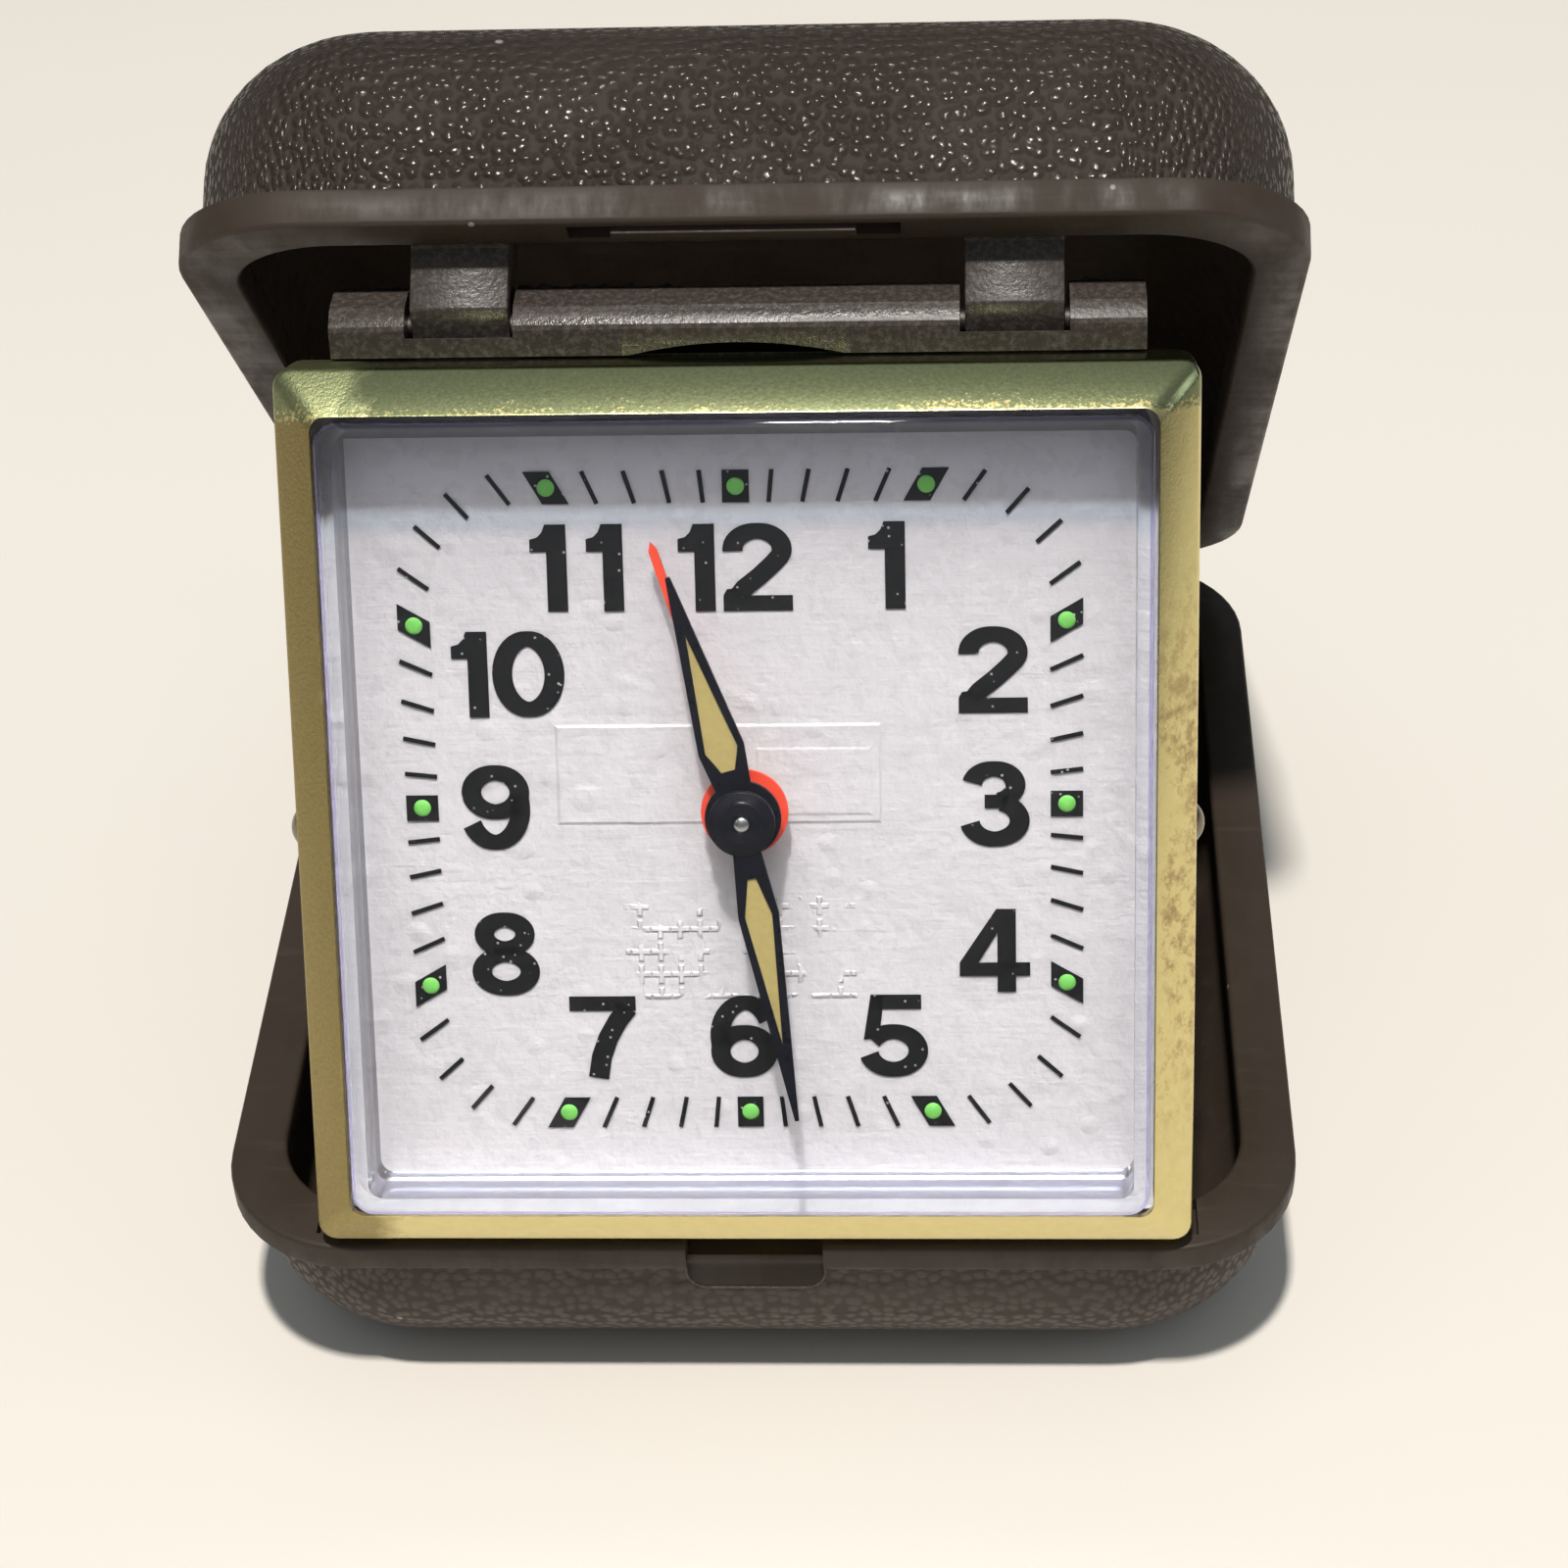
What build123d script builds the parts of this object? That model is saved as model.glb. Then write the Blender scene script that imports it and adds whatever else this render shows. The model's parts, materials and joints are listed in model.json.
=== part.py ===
from build123d import *
import math
import os

# A folding travel alarm clock. The base lies on the table, the lid leans forward on a
# hinge at the back, and the clock head hangs on two arms inside the lid.
# Millimetres, +X right as seen from the front, +Y to the back, +Z up.
# The origin is the middle of the underside of the base.

# Two shells of the case
case_width = 70.0
case_depth = 74.0
base_height = 14.0
lid_height = 16.0
corner_radius = 8.8
rim_width = 3.5
mouth_corner = 7.0
base_band_height = 2.0
lid_band_height = 2.4
band_proud = 0.6
body_corner = 11.8
shell_wall = 1.6
floor_thickness = 1.4
shell_rounding = 9.2
rim_gap = 0.3

# Thumb notch and rest step in the front of the base
notch_width = 8.8
notch_depth = 3.2
notch_corner = 1.4
notch_ledge_drop = 1.7
notch_upper_reach = 2.7
notch_lower_reach = 1.5
notch_back_wall = 1.5
step_depth = 1.1
step_lip = 1.3
step_side_room = 0.5
rest_setback = 3.46
rest_room = 0.374

# Catch in the front of the lid
catch_width = 14.7
catch_thickness = 0.9
catch_height = 1.5
catch_drop = 0.1
catch_setback = 0.9
catch_slot_width = 20.0
catch_slot_height = 1.4
catch_slot_reach = 2.5
catch_room = 0.2

# Rear hinge
knuckle_radius = 2.2
knuckle_length = 7.0
knuckle_start = 9.7
knuckle_gap = 0.3
rear_pin_radius = 0.8
pin_fit = 0.05

# Arms of the lid and the pin that carries the clock head
arm_start = 13.8
arm_width = 6.0
arm_radius = 1.7
arm_front = 2.1
arm_face_rise = 0.35
arm_face_setback = 0.5
arm_face_drop = 0.91
arm_pin_setback = 5.87
arm_pin_drop = 4.02
arm_root_height = 8.6
arm_chamfer = 3.0
bar_pin_radius = 0.75

# Hinge bar and the frame behind the bezel
bar_half_length = 24.7
bar_front = 2.3
bar_top = 2.1
bar_bevel = 0.65
bar_foot = 1.65
bar_foot_rise = 1.65
bar_foot_front = 1.9
bar_back = 2.3
bar_lip = 0.45
arm_room = 0.3
frame_reveal = 0.6
frame_front = 0.9
frame_thickness = 1.6
frame_corner = 1.5
frame_opening_radius = 21.8
scallop_radius = 28.8
scallop_width = 13.8
scallop_depth = 1.4

# Bezel, a pressed sheet with a raised inner edge
bezel_width = 55.6
bezel_height = 55.8
bezel_below_pin = 1.8
bezel_before_pin = 5.0
bezel_side_depth = 4.0
bezel_border = 2.6
bezel_rise = 2.56
bezel_sheet = 0.6
bezel_corner = 1.2
window_corner = 0.9
stud_radius = 1.2
stud_height = 0.55
stud_shank_radius = 0.6
stud_drop = 0.9
stud_setback = 1.5

# Box-shaped crystal
crystal_window_room = 0.25
crystal_proud = 0.64
crystal_face = 0.9
crystal_wall = 1.0
crystal_corner = 1.4
crystal_flange = 1.5
crystal_flange_thickness = 0.95

# Dial card and plate
dial_size_room = 0.4
dial_front = 1.8
card_thickness = 0.2
dial_plate_thickness = 0.5
dial_corner = 0.9
dial_hole_radius = 2.1
card_gap = 0.15

# Hands, heights are above the dial card
hand_thickness = 0.3
alarm_hand_height = 2.0
hour_hand_height = 3.5
minute_hand_height = 4.8
minute_hub_radius = 2.05
minute_length = 19.4
minute_half_width = 1.27
minute_wide_at = 5.9
minute_neck_half_width = 0.68
minute_tip_half_width = 0.12
minute_window_start = 3.5
minute_window_end = 14.3
hour_hub_radius = 2.35
hour_length = 15.6
hour_half_width = 1.45
hour_wide_at = 4.5
hour_neck_half_width = 0.85
hour_tip_half_width = 0.14
hour_window_start = 3.1
hour_window_end = 11.9
alarm_hub_radius = 2.7
alarm_length = 17.7
alarm_half_width = 0.27
alarm_tail = 0.5
hand_edge = 0.42
minute_angle = 171.0
hour_angle = 344.25
alarm_angle = 342.4

# Fits in the stack of tubes that carry the hands
tube_fit = 0.08
centre_arbor_radius = 0.45
cannon_radius = 0.8
hour_tube_radius = 1.2
alarm_tube_radius = 1.6

# Movement can
can_flange_radius = 24.4
can_radius = 22.6
can_sheet = 0.5
can_depth = 12.4
can_gap = 0.1
can_screw_radius = 0.5
can_screw_head_radius = 0.8
can_screw_head = 0.6
can_screw_count = 3
can_screw_start = 30.0
ring_thickness = 1.1
ring_room = 0.1

# Movement plates, pillars and arbors
plate_radius = 20.8
plate_thickness = 0.8
plate_front = 2.2
plate_spacing = 7.6
pillar_radius = 1.1
pillar_bearings = (20.0, 115.0, 180.0, 270.0)
pillar_inset = 1.6
nut_radius = 1.5
nut_height = 0.6
arbor_radius = 0.6
pivot_radius = 0.3
pivot_fit = 0.06
end_shake = 0.1

# Wheels and pinions
barrel_module = 0.35
train_module = 0.3
fine_module = 0.25
motion_module = 0.43
alarm_module = 0.3
addendum_share = 0.5
dedendum_share = 0.8
tooth_root_share = 0.5
tooth_tip_share = 0.24
barrel_teeth = 48
centre_pinion_teeth = 10
centre_wheel_teeth = 48
third_pinion_teeth = 8
third_wheel_teeth = 54
fourth_pinion_teeth = 8
fourth_wheel_teeth = 48
escape_pinion_teeth = 8
escape_teeth = 15
cannon_pinion_teeth = 10
minute_wheel_teeth = 30
minute_pinion_teeth = 8
hour_wheel_teeth = 32
alarm_wheel_teeth = 50
alarm_set_pinion_teeth = 8
alarm_drive_pinion_teeth = 8
wheel_thickness = 0.5
pinion_length = 1.2
barrel_drum_radius = 7.6
barrel_flange = 0.8
barrel_length = 3.2
barrel_arbor_radius = 1.0

# Places of the arbors round the centre, as bearings in degrees
time_barrel_bearing = 200.0
alarm_barrel_bearing = 340.0
alarm_barrel_distance = 11.4
third_bearing = 90.0
fourth_bearing = 180.0
escape_bearing = 60.0
minute_wheel_bearing = 35.0
alarm_set_bearing = 270.0
alarm_escape_bearing = 230.0
balance_side = 7.5
balance_up = 13.0
fork_side = 1.6
fork_up = 16.2

# Escapements
escape_radius = 3.6
escape_root_radius = 2.7
balance_radius = 5.0
balance_rim = 0.8
balance_spoke = 0.7
balance_thickness = 0.6
roller_radius = 1.0
hairspring_inner = 1.1
hairspring_outer = 3.4
hairspring_turns = 4
hairspring_width = 0.15
hairspring_height = 0.4
fork_half_width = 0.35
fork_tail = 4.4
fork_span = 2.4
pallet_reach = 2.4
alarm_escape_radius = 3.0
alarm_escape_root_radius = 2.2
hammer_side = 9.5
hammer_down = 14.5
hammer_arm_length = 6.2
hammer_arm_bearing = 25.0
hammer_head_radius = 1.0
hammer_pallet_reach = 2.5
hammer_arm_half_width = 0.4

# Ratchets, keys, knobs and levers at the back
ratchet_radius = 3.1
ratchet_root_radius = 2.6
ratchet_teeth = 18
ratchet_thickness = 0.6
click_distance = 4.6
click_bearing_time = 120.0
click_bearing_alarm = 60.0
click_radius = 0.7
click_length = 2.4
click_nose_bearing = 23.5
click_room = 0.15
key_gap = 0.25
key_hub_radius = 1.7
key_hub_length = 1.3
key_wing_span = 10.0
key_wing_thickness = 1.3
key_wing_height = 2.4
key_spigot_radius = 0.7
knob_radius = 2.2
knob_length = 2.6
knob_ridges = 18
knob_ridge_depth = 0.18
slot_room = 0.3
shutoff_down = 16.2
shutoff_width = 1.4
shutoff_travel = 3.0
shutoff_cap_width = 3.2
shutoff_cap_height = 2.2
shutoff_cap_thickness = 1.2
shutoff_foot_thickness = 0.5
regulator_width = 0.9
regulator_length = 4.2
regulator_swing = 20.0
regulator_hub_radius = 1.3

overrun = 1.0

# Places that follow from the sizes
hinge_y = case_depth / 2
hinge_z = base_height
arm_reach = case_depth - arm_pin_setback

# Seen from the side, the rear hinge, the bar pin and the head's rest on the step form a triangle,
# which sets how far the lid opens and how far the head leans back
head_drop = bezel_below_pin + bezel_height
head_back = bezel_side_depth - bezel_before_pin
rest_y = rest_setback - hinge_y
rest_z = hinge_z - step_depth + rest_room
rest_span = math.hypot(hinge_y - rest_y, hinge_z - rest_z)
pin_span = math.hypot(arm_reach, arm_pin_drop)
head_span = math.hypot(head_drop, head_back)
hinge_corner = math.acos((rest_span ** 2 + pin_span ** 2 - head_span ** 2) / (2 * rest_span * pin_span))
rest_fall = math.asin((hinge_z - rest_z) / rest_span)
arm_fall = math.asin(arm_pin_drop / pin_span)
open_angle = math.degrees(hinge_corner - rest_fall + arm_fall)
open_cos = math.cos(math.radians(open_angle))
open_sin = math.sin(math.radians(open_angle))
pin_y = hinge_y - arm_reach * open_cos - arm_pin_drop * open_sin
pin_z = hinge_z + arm_reach * open_sin - arm_pin_drop * open_cos
lean_angle = math.degrees(math.asin((pin_y - rest_y) / head_span) + math.asin(head_back / head_span))

# Places along the head's depth, from the bar pin
bezel_front = -bezel_before_pin
head_middle = -bezel_below_pin - bezel_height / 2
frame_width = bezel_width - 2 * frame_reveal
frame_height = bezel_height - 2 * frame_reveal
window_width = bezel_width - 2 * bezel_border
window_height = bezel_height - 2 * bezel_border
window_front = bezel_front - bezel_rise
crystal_front = window_front - crystal_proud
card_front = -dial_front
card_back = card_front + card_thickness
dial_back = card_back + dial_plate_thickness
frame_back = frame_thickness - frame_front
can_front = frame_back + can_gap
can_back = can_front + can_depth + can_sheet
plate_front_back = plate_front + plate_thickness
back_plate_front = plate_front_back + plate_spacing
back_plate_back = back_plate_front + plate_thickness


# The case stands in the world; the lid is drawn shut and then swung up on its hinge,
# and the clock head is drawn upright round its pin and then leaned back.
def in_lid(shape):
    return Pos(0, hinge_y, hinge_z) * Rot(-open_angle, 0, 0) * shape


def in_head(shape):
    return Pos(0, pin_y, pin_z) * Rot(-lean_angle, 0, 0) * shape


def cross_rod(radius, start, end, y=0, z=0):
    return Pos((start + end) / 2, y, z) * Rot(0, 90, 0) * Cylinder(radius, end - start)


def rod(radius, front, back, x=0, z=0):
    return Pos(x, (front + back) / 2, z) * Rot(90, 0, 0) * Cylinder(radius, back - front)


def slab(sketch, front, back, x=0, z=0):
    return Pos(x, 0, z) * extrude(Plane.XZ.offset(-back) * sketch, amount=back - front)


def block(x0, x1, y0, y1, z0, z1):
    middle = Pos((x0 + x1) / 2, (y0 + y1) / 2, (z0 + z1) / 2)
    return middle * Box(x1 - x0, y1 - y0, z1 - z0)


def side_profile(points, start, end):
    face = make_face(Polyline(*points, close=True))
    return Pos(start, 0, 0) * extrude(Plane.YZ * face, amount=end - start)


def outline(points):
    return make_face(Polyline(*points, close=True))


def polar(distance, bearing, start=(0, 0)):
    angle = math.radians(bearing)
    return (start[0] + distance * math.cos(angle), start[1] + distance * math.sin(angle))


# Places of the arbors, from the sizes of the wheels that mesh
def mesh(module, first, second):
    return module * (first + second) / 2


barrel_mesh = mesh(barrel_module, barrel_teeth, centre_pinion_teeth)
third_mesh = mesh(train_module, centre_wheel_teeth, third_pinion_teeth)
fourth_mesh = mesh(fine_module, third_wheel_teeth, fourth_pinion_teeth)
escape_mesh = mesh(fine_module, fourth_wheel_teeth, escape_pinion_teeth)
minute_mesh = mesh(motion_module, cannon_pinion_teeth, minute_wheel_teeth)
alarm_set_mesh = mesh(alarm_module, alarm_wheel_teeth, alarm_set_pinion_teeth)
alarm_drive_mesh = mesh(barrel_module, barrel_teeth, alarm_drive_pinion_teeth)
time_barrel_at = polar(barrel_mesh, time_barrel_bearing)
alarm_barrel_at = polar(alarm_barrel_distance, alarm_barrel_bearing)
third_at = polar(third_mesh, third_bearing)
fourth_at = polar(fourth_mesh, fourth_bearing, third_at)
escape_at = polar(escape_mesh, escape_bearing, fourth_at)
minute_wheel_at = polar(minute_mesh, minute_wheel_bearing)
alarm_set_at = polar(alarm_set_mesh, alarm_set_bearing)
alarm_escape_at = polar(alarm_drive_mesh, alarm_escape_bearing, alarm_barrel_at)
balance_at = (balance_side, balance_up)
fork_at = (fork_side, fork_up)
hammer_at = (hammer_side, -hammer_down)

# Levels of the wheels, as distances behind the front plate's back face or its front face
barrel_front = plate_front_back + barrel_flange
barrel_back = barrel_front + barrel_length
centre_wheel_front = back_plate_front - 4 * wheel_thickness
third_wheel_front = plate_front_back + plate_spacing / 3
fourth_wheel_front = barrel_back + wheel_thickness / 2
escape_wheel_front = back_plate_front - 3 * wheel_thickness
balance_front = fourth_wheel_front + end_shake
hour_wheel_front = dial_back + 2 * wheel_thickness
alarm_wheel_front = dial_back + wheel_thickness / 3
minute_wheel_front = plate_front - 2 * wheel_thickness


def at_middle(shape):
    return in_head(Pos(0, 0, head_middle) * shape)


# One open tray, standing on its closed face
def tray(height, band_height):
    grain_width = case_width - 2 * band_proud
    grain_depth = case_depth - 2 * band_proud
    body = extrude(RectangleRounded(grain_width, grain_depth, body_corner), height - band_height / 2)
    body = fillet(body.edges().group_by(Axis.Z)[0], shell_rounding)
    band = extrude(RectangleRounded(case_width, case_depth, corner_radius), band_height)
    hollow_width = grain_width - 2 * shell_wall
    hollow_depth = grain_depth - 2 * shell_wall
    hollow_corner = body_corner - shell_wall
    hollow_height = height - band_height - floor_thickness
    hollow = extrude(RectangleRounded(hollow_width, hollow_depth, hollow_corner), hollow_height)
    hollow = fillet(hollow.edges().group_by(Axis.Z)[0], shell_rounding - shell_wall)
    mouth_width = case_width - 2 * rim_width
    mouth_depth = case_depth - 2 * rim_width
    mouth = extrude(RectangleRounded(mouth_width, mouth_depth, mouth_corner), height)
    shell = body + Pos(0, 0, height - band_height) * band
    shell = shell - Pos(0, 0, floor_thickness) * hollow
    return shell - Pos(0, 0, height - band_height - overrun) * mouth


# Knuckles stand on the hinge line, each shell with its own pair and room for the other
def knuckle_spans(first):
    start = knuckle_start if first else knuckle_start + knuckle_length + knuckle_gap
    return [(start, start + knuckle_length), (-start - knuckle_length, -start)]


def hinged(shell, own_first):
    room = knuckle_radius + knuckle_gap
    for start, end in knuckle_spans(not own_first):
        shell = shell - cross_rod(room, start - knuckle_gap, end + knuckle_gap)
    for start, end in knuckle_spans(own_first):
        shell = shell + cross_rod(knuckle_radius, start, end)
    for start, end in knuckle_spans(own_first):
        shell = shell - cross_rod(rear_pin_radius + pin_fit, start - overrun, end + overrun)
    return shell


def thumb_notch():
    front = -case_depth / 2
    top = base_height
    bottom = top - notch_depth
    shape = Pos(0, top) * RectangleRounded(notch_width, 2 * notch_depth, notch_corner)
    low = slab(shape, front - overrun, front + notch_lower_reach)
    ledge = top - notch_ledge_drop
    high = block(-notch_width / 2, notch_width / 2, front - overrun,
                 front + notch_upper_reach, ledge, top + overrun)
    boss = block(-notch_width / 2 - notch_back_wall, notch_width / 2 + notch_back_wall,
                 front + band_proud + shell_wall / 2, front + notch_upper_reach + notch_back_wall,
                 bottom - notch_back_wall, top - base_band_height / 2)
    return boss, low, high


def make_base():
    base = Pos(0, -hinge_y, -hinge_z) * tray(base_height, base_band_height)
    base = Pos(0, hinge_y, hinge_z) * hinged(base, False)
    boss, low, high = thumb_notch()
    base = base + boss - low - high
    front = -case_depth / 2
    half = bezel_width / 2 + step_side_room
    step = block(-half, half, front + step_lip, front + rim_width + overrun,
                 base_height - step_depth, base_height + overrun)
    pocket_half = catch_width / 2 + catch_room
    pocket = block(-pocket_half, pocket_half, front + catch_setback - catch_room,
                   front + catch_setback + catch_thickness + catch_room,
                   base_height - catch_drop - rim_gap, base_height + overrun)
    return base - step - pocket


# Each arm is one block rooted in the front wall of the lid. Its end is round about the pin
# and has a flat face towards the front.
def lid_arm(start):
    pin = -arm_reach
    root = -case_depth + band_proud + shell_wall - pin_fit
    rim = -case_depth + rim_width - pin_fit
    low = rim_gap + lid_band_height
    points = [
        (root, low), (root, arm_root_height), (pin - arm_radius, arm_root_height),
        (pin + arm_radius, arm_root_height - arm_chamfer), (pin + arm_radius, -arm_pin_drop),
        (pin - arm_front, -arm_pin_drop), (pin - arm_front, rim_gap), (rim, rim_gap), (rim, low),
    ]
    arm = side_profile(points, start, start + arm_width)
    arm = arm + cross_rod(arm_radius, start, start + arm_width, pin, -arm_pin_drop)
    fall = arm_face_rise + arm_face_drop
    run = arm_front - arm_face_setback
    shift = run / fall * arm_face_rise
    before = [
        (pin - arm_front - shift, -arm_pin_drop + 2 * arm_face_rise),
        (pin - arm_front + 2 * run - shift, -arm_pin_drop - 2 * fall + 2 * arm_face_rise),
        (pin - 2 * arm_front, -arm_pin_drop - 2 * fall + 2 * arm_face_rise),
        (pin - 2 * arm_front, -arm_pin_drop + 2 * arm_face_rise),
    ]
    arm = arm - side_profile(before, start - overrun, start + arm_width + overrun)
    bore = cross_rod(bar_pin_radius + pin_fit, start - overrun, start + arm_width + overrun,
                     pin, -arm_pin_drop)
    return arm - bore


def make_lid():
    lid = Pos(0, -hinge_y, rim_gap + lid_height) * Rot(180, 0, 0) * tray(lid_height, lid_band_height)
    lid = hinged(lid, True)
    half = catch_slot_width / 2
    slot = block(-half, half, -case_depth + catch_setback - catch_room, -case_depth + catch_slot_reach,
                 rim_gap - overrun, rim_gap + catch_slot_height)
    return lid + lid_arm(arm_start) + lid_arm(-arm_start - arm_width) - slot


def make_catch():
    front = -case_depth + catch_setback
    return block(-catch_width / 2, catch_width / 2, front, front + catch_thickness,
                 -catch_drop, catch_height - catch_drop)


def make_rear_pin(side):
    start = knuckle_start
    end = knuckle_start + 2 * knuckle_length + knuckle_gap
    if side < 0:
        start, end = -end, -start
    return cross_rod(rear_pin_radius, start, end)


# The frame is a plate with the hinge bar along its top
def make_frame():
    bar_points = [
        (-bar_front, bar_top - bar_bevel), (-bar_front, -bar_foot + bar_foot_rise),
        (-bar_foot_front, -bar_foot), (-frame_front, -bar_foot),
        (-frame_front, -bar_foot - bar_back), (bar_back, -bar_foot - bar_back),
        (bar_back, bar_top - bar_bevel), (bar_back - bar_bevel, bar_top), (-bar_front + bar_bevel, bar_top),
    ]
    bar = side_profile(bar_points, -bar_half_length, bar_half_length)
    plate_sketch = RectangleRounded(frame_width, frame_height, frame_corner)
    plate = slab(plate_sketch, -frame_front, frame_back, 0, head_middle)
    frame = plate + bar
    for start in (arm_start, -arm_start - arm_width):
        x0, x1 = start - arm_room, start + arm_width + arm_room
        low = arm_radius + arm_room
        frame = frame - block(x0, x1, -bar_front - overrun, 0, -bar_lip, bar_top + overrun)
        frame = frame - block(x0, x1, 0, bar_back + overrun, -low, bar_top + overrun)
        frame = frame - cross_rod(low, x0, x1)
    frame = frame - cross_rod(bar_pin_radius + pin_fit, -bar_half_length - overrun, bar_half_length + overrun)
    frame = frame - rod(frame_opening_radius, -frame_front - overrun, bar_back + overrun, 0, head_middle)
    scallop = rod(scallop_radius, -bar_front - overrun, -bar_front + scallop_depth, 0, head_middle)
    reach = block(-scallop_width / 2, scallop_width / 2, -bar_front - overrun,
                  -bar_front + scallop_depth, -bar_foot - overrun, 0)
    frame = frame - (scallop & reach)
    for x, z in can_screw_places():
        frame = frame - rod(can_screw_radius + pin_fit, -overrun / 2, frame_back + overrun, x, head_middle + z)
    return frame


def make_bar_pin():
    return cross_rod(bar_pin_radius, -bar_half_length, bar_half_length)


def frustum(width, height, border, corner, end_corner, back, front):
    low = Plane.XZ.offset(-back) * RectangleRounded(width, height, corner)
    high = Plane.XZ.offset(-front) * RectangleRounded(width - 2 * border, height - 2 * border, end_corner)
    return loft([low, high])


def stud_places():
    return [(-1, -stud_drop), (1, -stud_drop)]


def make_bezel():
    outer = frustum(bezel_width, bezel_height, bezel_border, bezel_corner, window_corner,
                    bezel_front, window_front)
    side = slab(RectangleRounded(bezel_width, bezel_height, bezel_corner), bezel_front,
                bezel_front + bezel_side_depth)
    inner_width = bezel_width - 2 * bezel_sheet
    inner_height = bezel_height - 2 * bezel_sheet
    inner_corner = bezel_corner - bezel_sheet / 2
    inner = frustum(inner_width, inner_height, bezel_border - bezel_sheet, inner_corner, window_corner,
                    bezel_front + bezel_sheet / 2, window_front + bezel_sheet)
    hollow = slab(RectangleRounded(inner_width, inner_height, inner_corner),
                  bezel_front + bezel_sheet / 2, bezel_front + bezel_side_depth + overrun)
    window = slab(RectangleRounded(window_width, window_height, window_corner),
                  window_front - overrun, bezel_front + overrun)
    bezel = outer + side - inner - hollow - window
    hole_at = bezel_front + stud_setback
    for side_sign, up in stud_places():
        edge = side_sign * bezel_width / 2
        bezel = bezel - cross_rod(stud_shank_radius + pin_fit, edge - overrun, edge + overrun, hole_at, up)
    return bezel


# A domed stud is riveted through each side of the bezel
def make_stud(side_sign):
    edge = bezel_width / 2
    dome_radius = (stud_radius ** 2 + stud_height ** 2) / (2 * stud_height)
    half_turn = math.asin(stud_radius / dome_radius) / 2
    centre = edge + stud_height - dome_radius
    middle = (centre + dome_radius * math.cos(half_turn), dome_radius * math.sin(half_turn))
    profile = make_face([
        Line((edge - bezel_sheet, 0), (edge - bezel_sheet, stud_shank_radius)),
        Line((edge - bezel_sheet, stud_shank_radius), (edge, stud_shank_radius)),
        Line((edge, stud_shank_radius), (edge, stud_radius)),
        ThreePointArc((edge, stud_radius), middle, (edge + stud_height, 0)),
        Line((edge + stud_height, 0), (edge - bezel_sheet, 0)),
    ])
    stud = revolve(profile, Axis.X)
    stud = Pos(0, bezel_front + stud_setback, -stud_drop) * stud
    return stud if side_sign > 0 else mirror(stud, about=Plane.YZ)


def make_crystal():
    width = window_width - 2 * crystal_window_room
    height = window_height - 2 * crystal_window_room
    back = card_front - card_gap
    box = slab(RectangleRounded(width, height, crystal_corner), crystal_front, back)
    front_edges = box.faces().sort_by(Axis.Y)[0].edges()
    box = fillet(front_edges, crystal_face / 2)
    flange = slab(RectangleRounded(width + 2 * crystal_flange, height + 2 * crystal_flange, crystal_corner),
                  back - crystal_flange_thickness, back)
    inner = slab(RectangleRounded(width - 2 * crystal_wall, height - 2 * crystal_wall,
                                  crystal_corner - crystal_wall / 2),
                 crystal_front + crystal_face, back + overrun)
    return box + flange - inner


def dial_outline():
    width = bezel_width - 2 * bezel_sheet - 2 * dial_size_room
    height = bezel_height - 2 * bezel_sheet - 2 * dial_size_room
    return RectangleRounded(width, height, dial_corner) - Circle(dial_hole_radius)


def make_dial_card():
    return slab(dial_outline(), card_front, card_back)


def make_dial_plate():
    sheet = slab(dial_outline(), card_back, dial_back)
    x, z = minute_wheel_at
    return sheet - rod(pivot_radius + pivot_fit, card_back - overrun, dial_back + overrun, x, z)


# A hand is a disc with a kite-shaped blade; the window holds the luminous filling
def blade(length, half_width, wide_at, neck, tip):
    return outline([(-neck, 0), (-half_width, wide_at), (-tip, length), (tip, length),
                    (half_width, wide_at), (neck, 0)])


def window(start, end, half_width, wide_at, neck):
    low = neck - hand_edge
    high = half_width - hand_edge
    return outline([(-low, start), (-high, wide_at), (0, end), (high, wide_at), (low, start)])


def turned(sketch, angle):
    return Rot(0, 0, -angle) * sketch


def make_minute_hand():
    shape = blade(minute_length, minute_half_width, minute_wide_at, minute_neck_half_width,
                  minute_tip_half_width) + Circle(minute_hub_radius)
    shape = shape - window(minute_window_start, minute_window_end, minute_half_width, minute_wide_at,
                           minute_neck_half_width)
    front = card_front - minute_hand_height
    shape = turned(shape - Circle(centre_arbor_radius + tube_fit), minute_angle)
    return slab(shape, front, front + hand_thickness)


def make_hour_hand():
    shape = blade(hour_length, hour_half_width, hour_wide_at, hour_neck_half_width,
                  hour_tip_half_width) + Circle(hour_hub_radius)
    shape = shape - window(hour_window_start, hour_window_end, hour_half_width, hour_wide_at,
                           hour_neck_half_width)
    front = card_front - hour_hand_height
    shape = turned(shape - Circle(cannon_radius + tube_fit), hour_angle)
    return slab(shape, front, front + hand_thickness)


def make_alarm_hand():
    stem = outline([(-alarm_half_width, 0), (-alarm_half_width, alarm_length - alarm_tail),
                    (0, alarm_length), (alarm_half_width, alarm_length - alarm_tail), (alarm_half_width, 0)])
    shape = turned(stem + Circle(alarm_hub_radius) - Circle(hour_tube_radius + tube_fit), alarm_angle)
    front = card_front - alarm_hand_height
    return slab(shape, front, front + hand_thickness)


def make_minute_glow():
    shape = turned(window(minute_window_start, minute_window_end, minute_half_width, minute_wide_at,
                          minute_neck_half_width), minute_angle)
    front = card_front - minute_hand_height
    return slab(shape, front + hand_thickness / 3, front + hand_thickness)


def make_hour_glow():
    shape = turned(window(hour_window_start, hour_window_end, hour_half_width, hour_wide_at,
                          hour_neck_half_width), hour_angle)
    front = card_front - hour_hand_height
    return slab(shape, front + hand_thickness / 3, front + hand_thickness)


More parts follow.
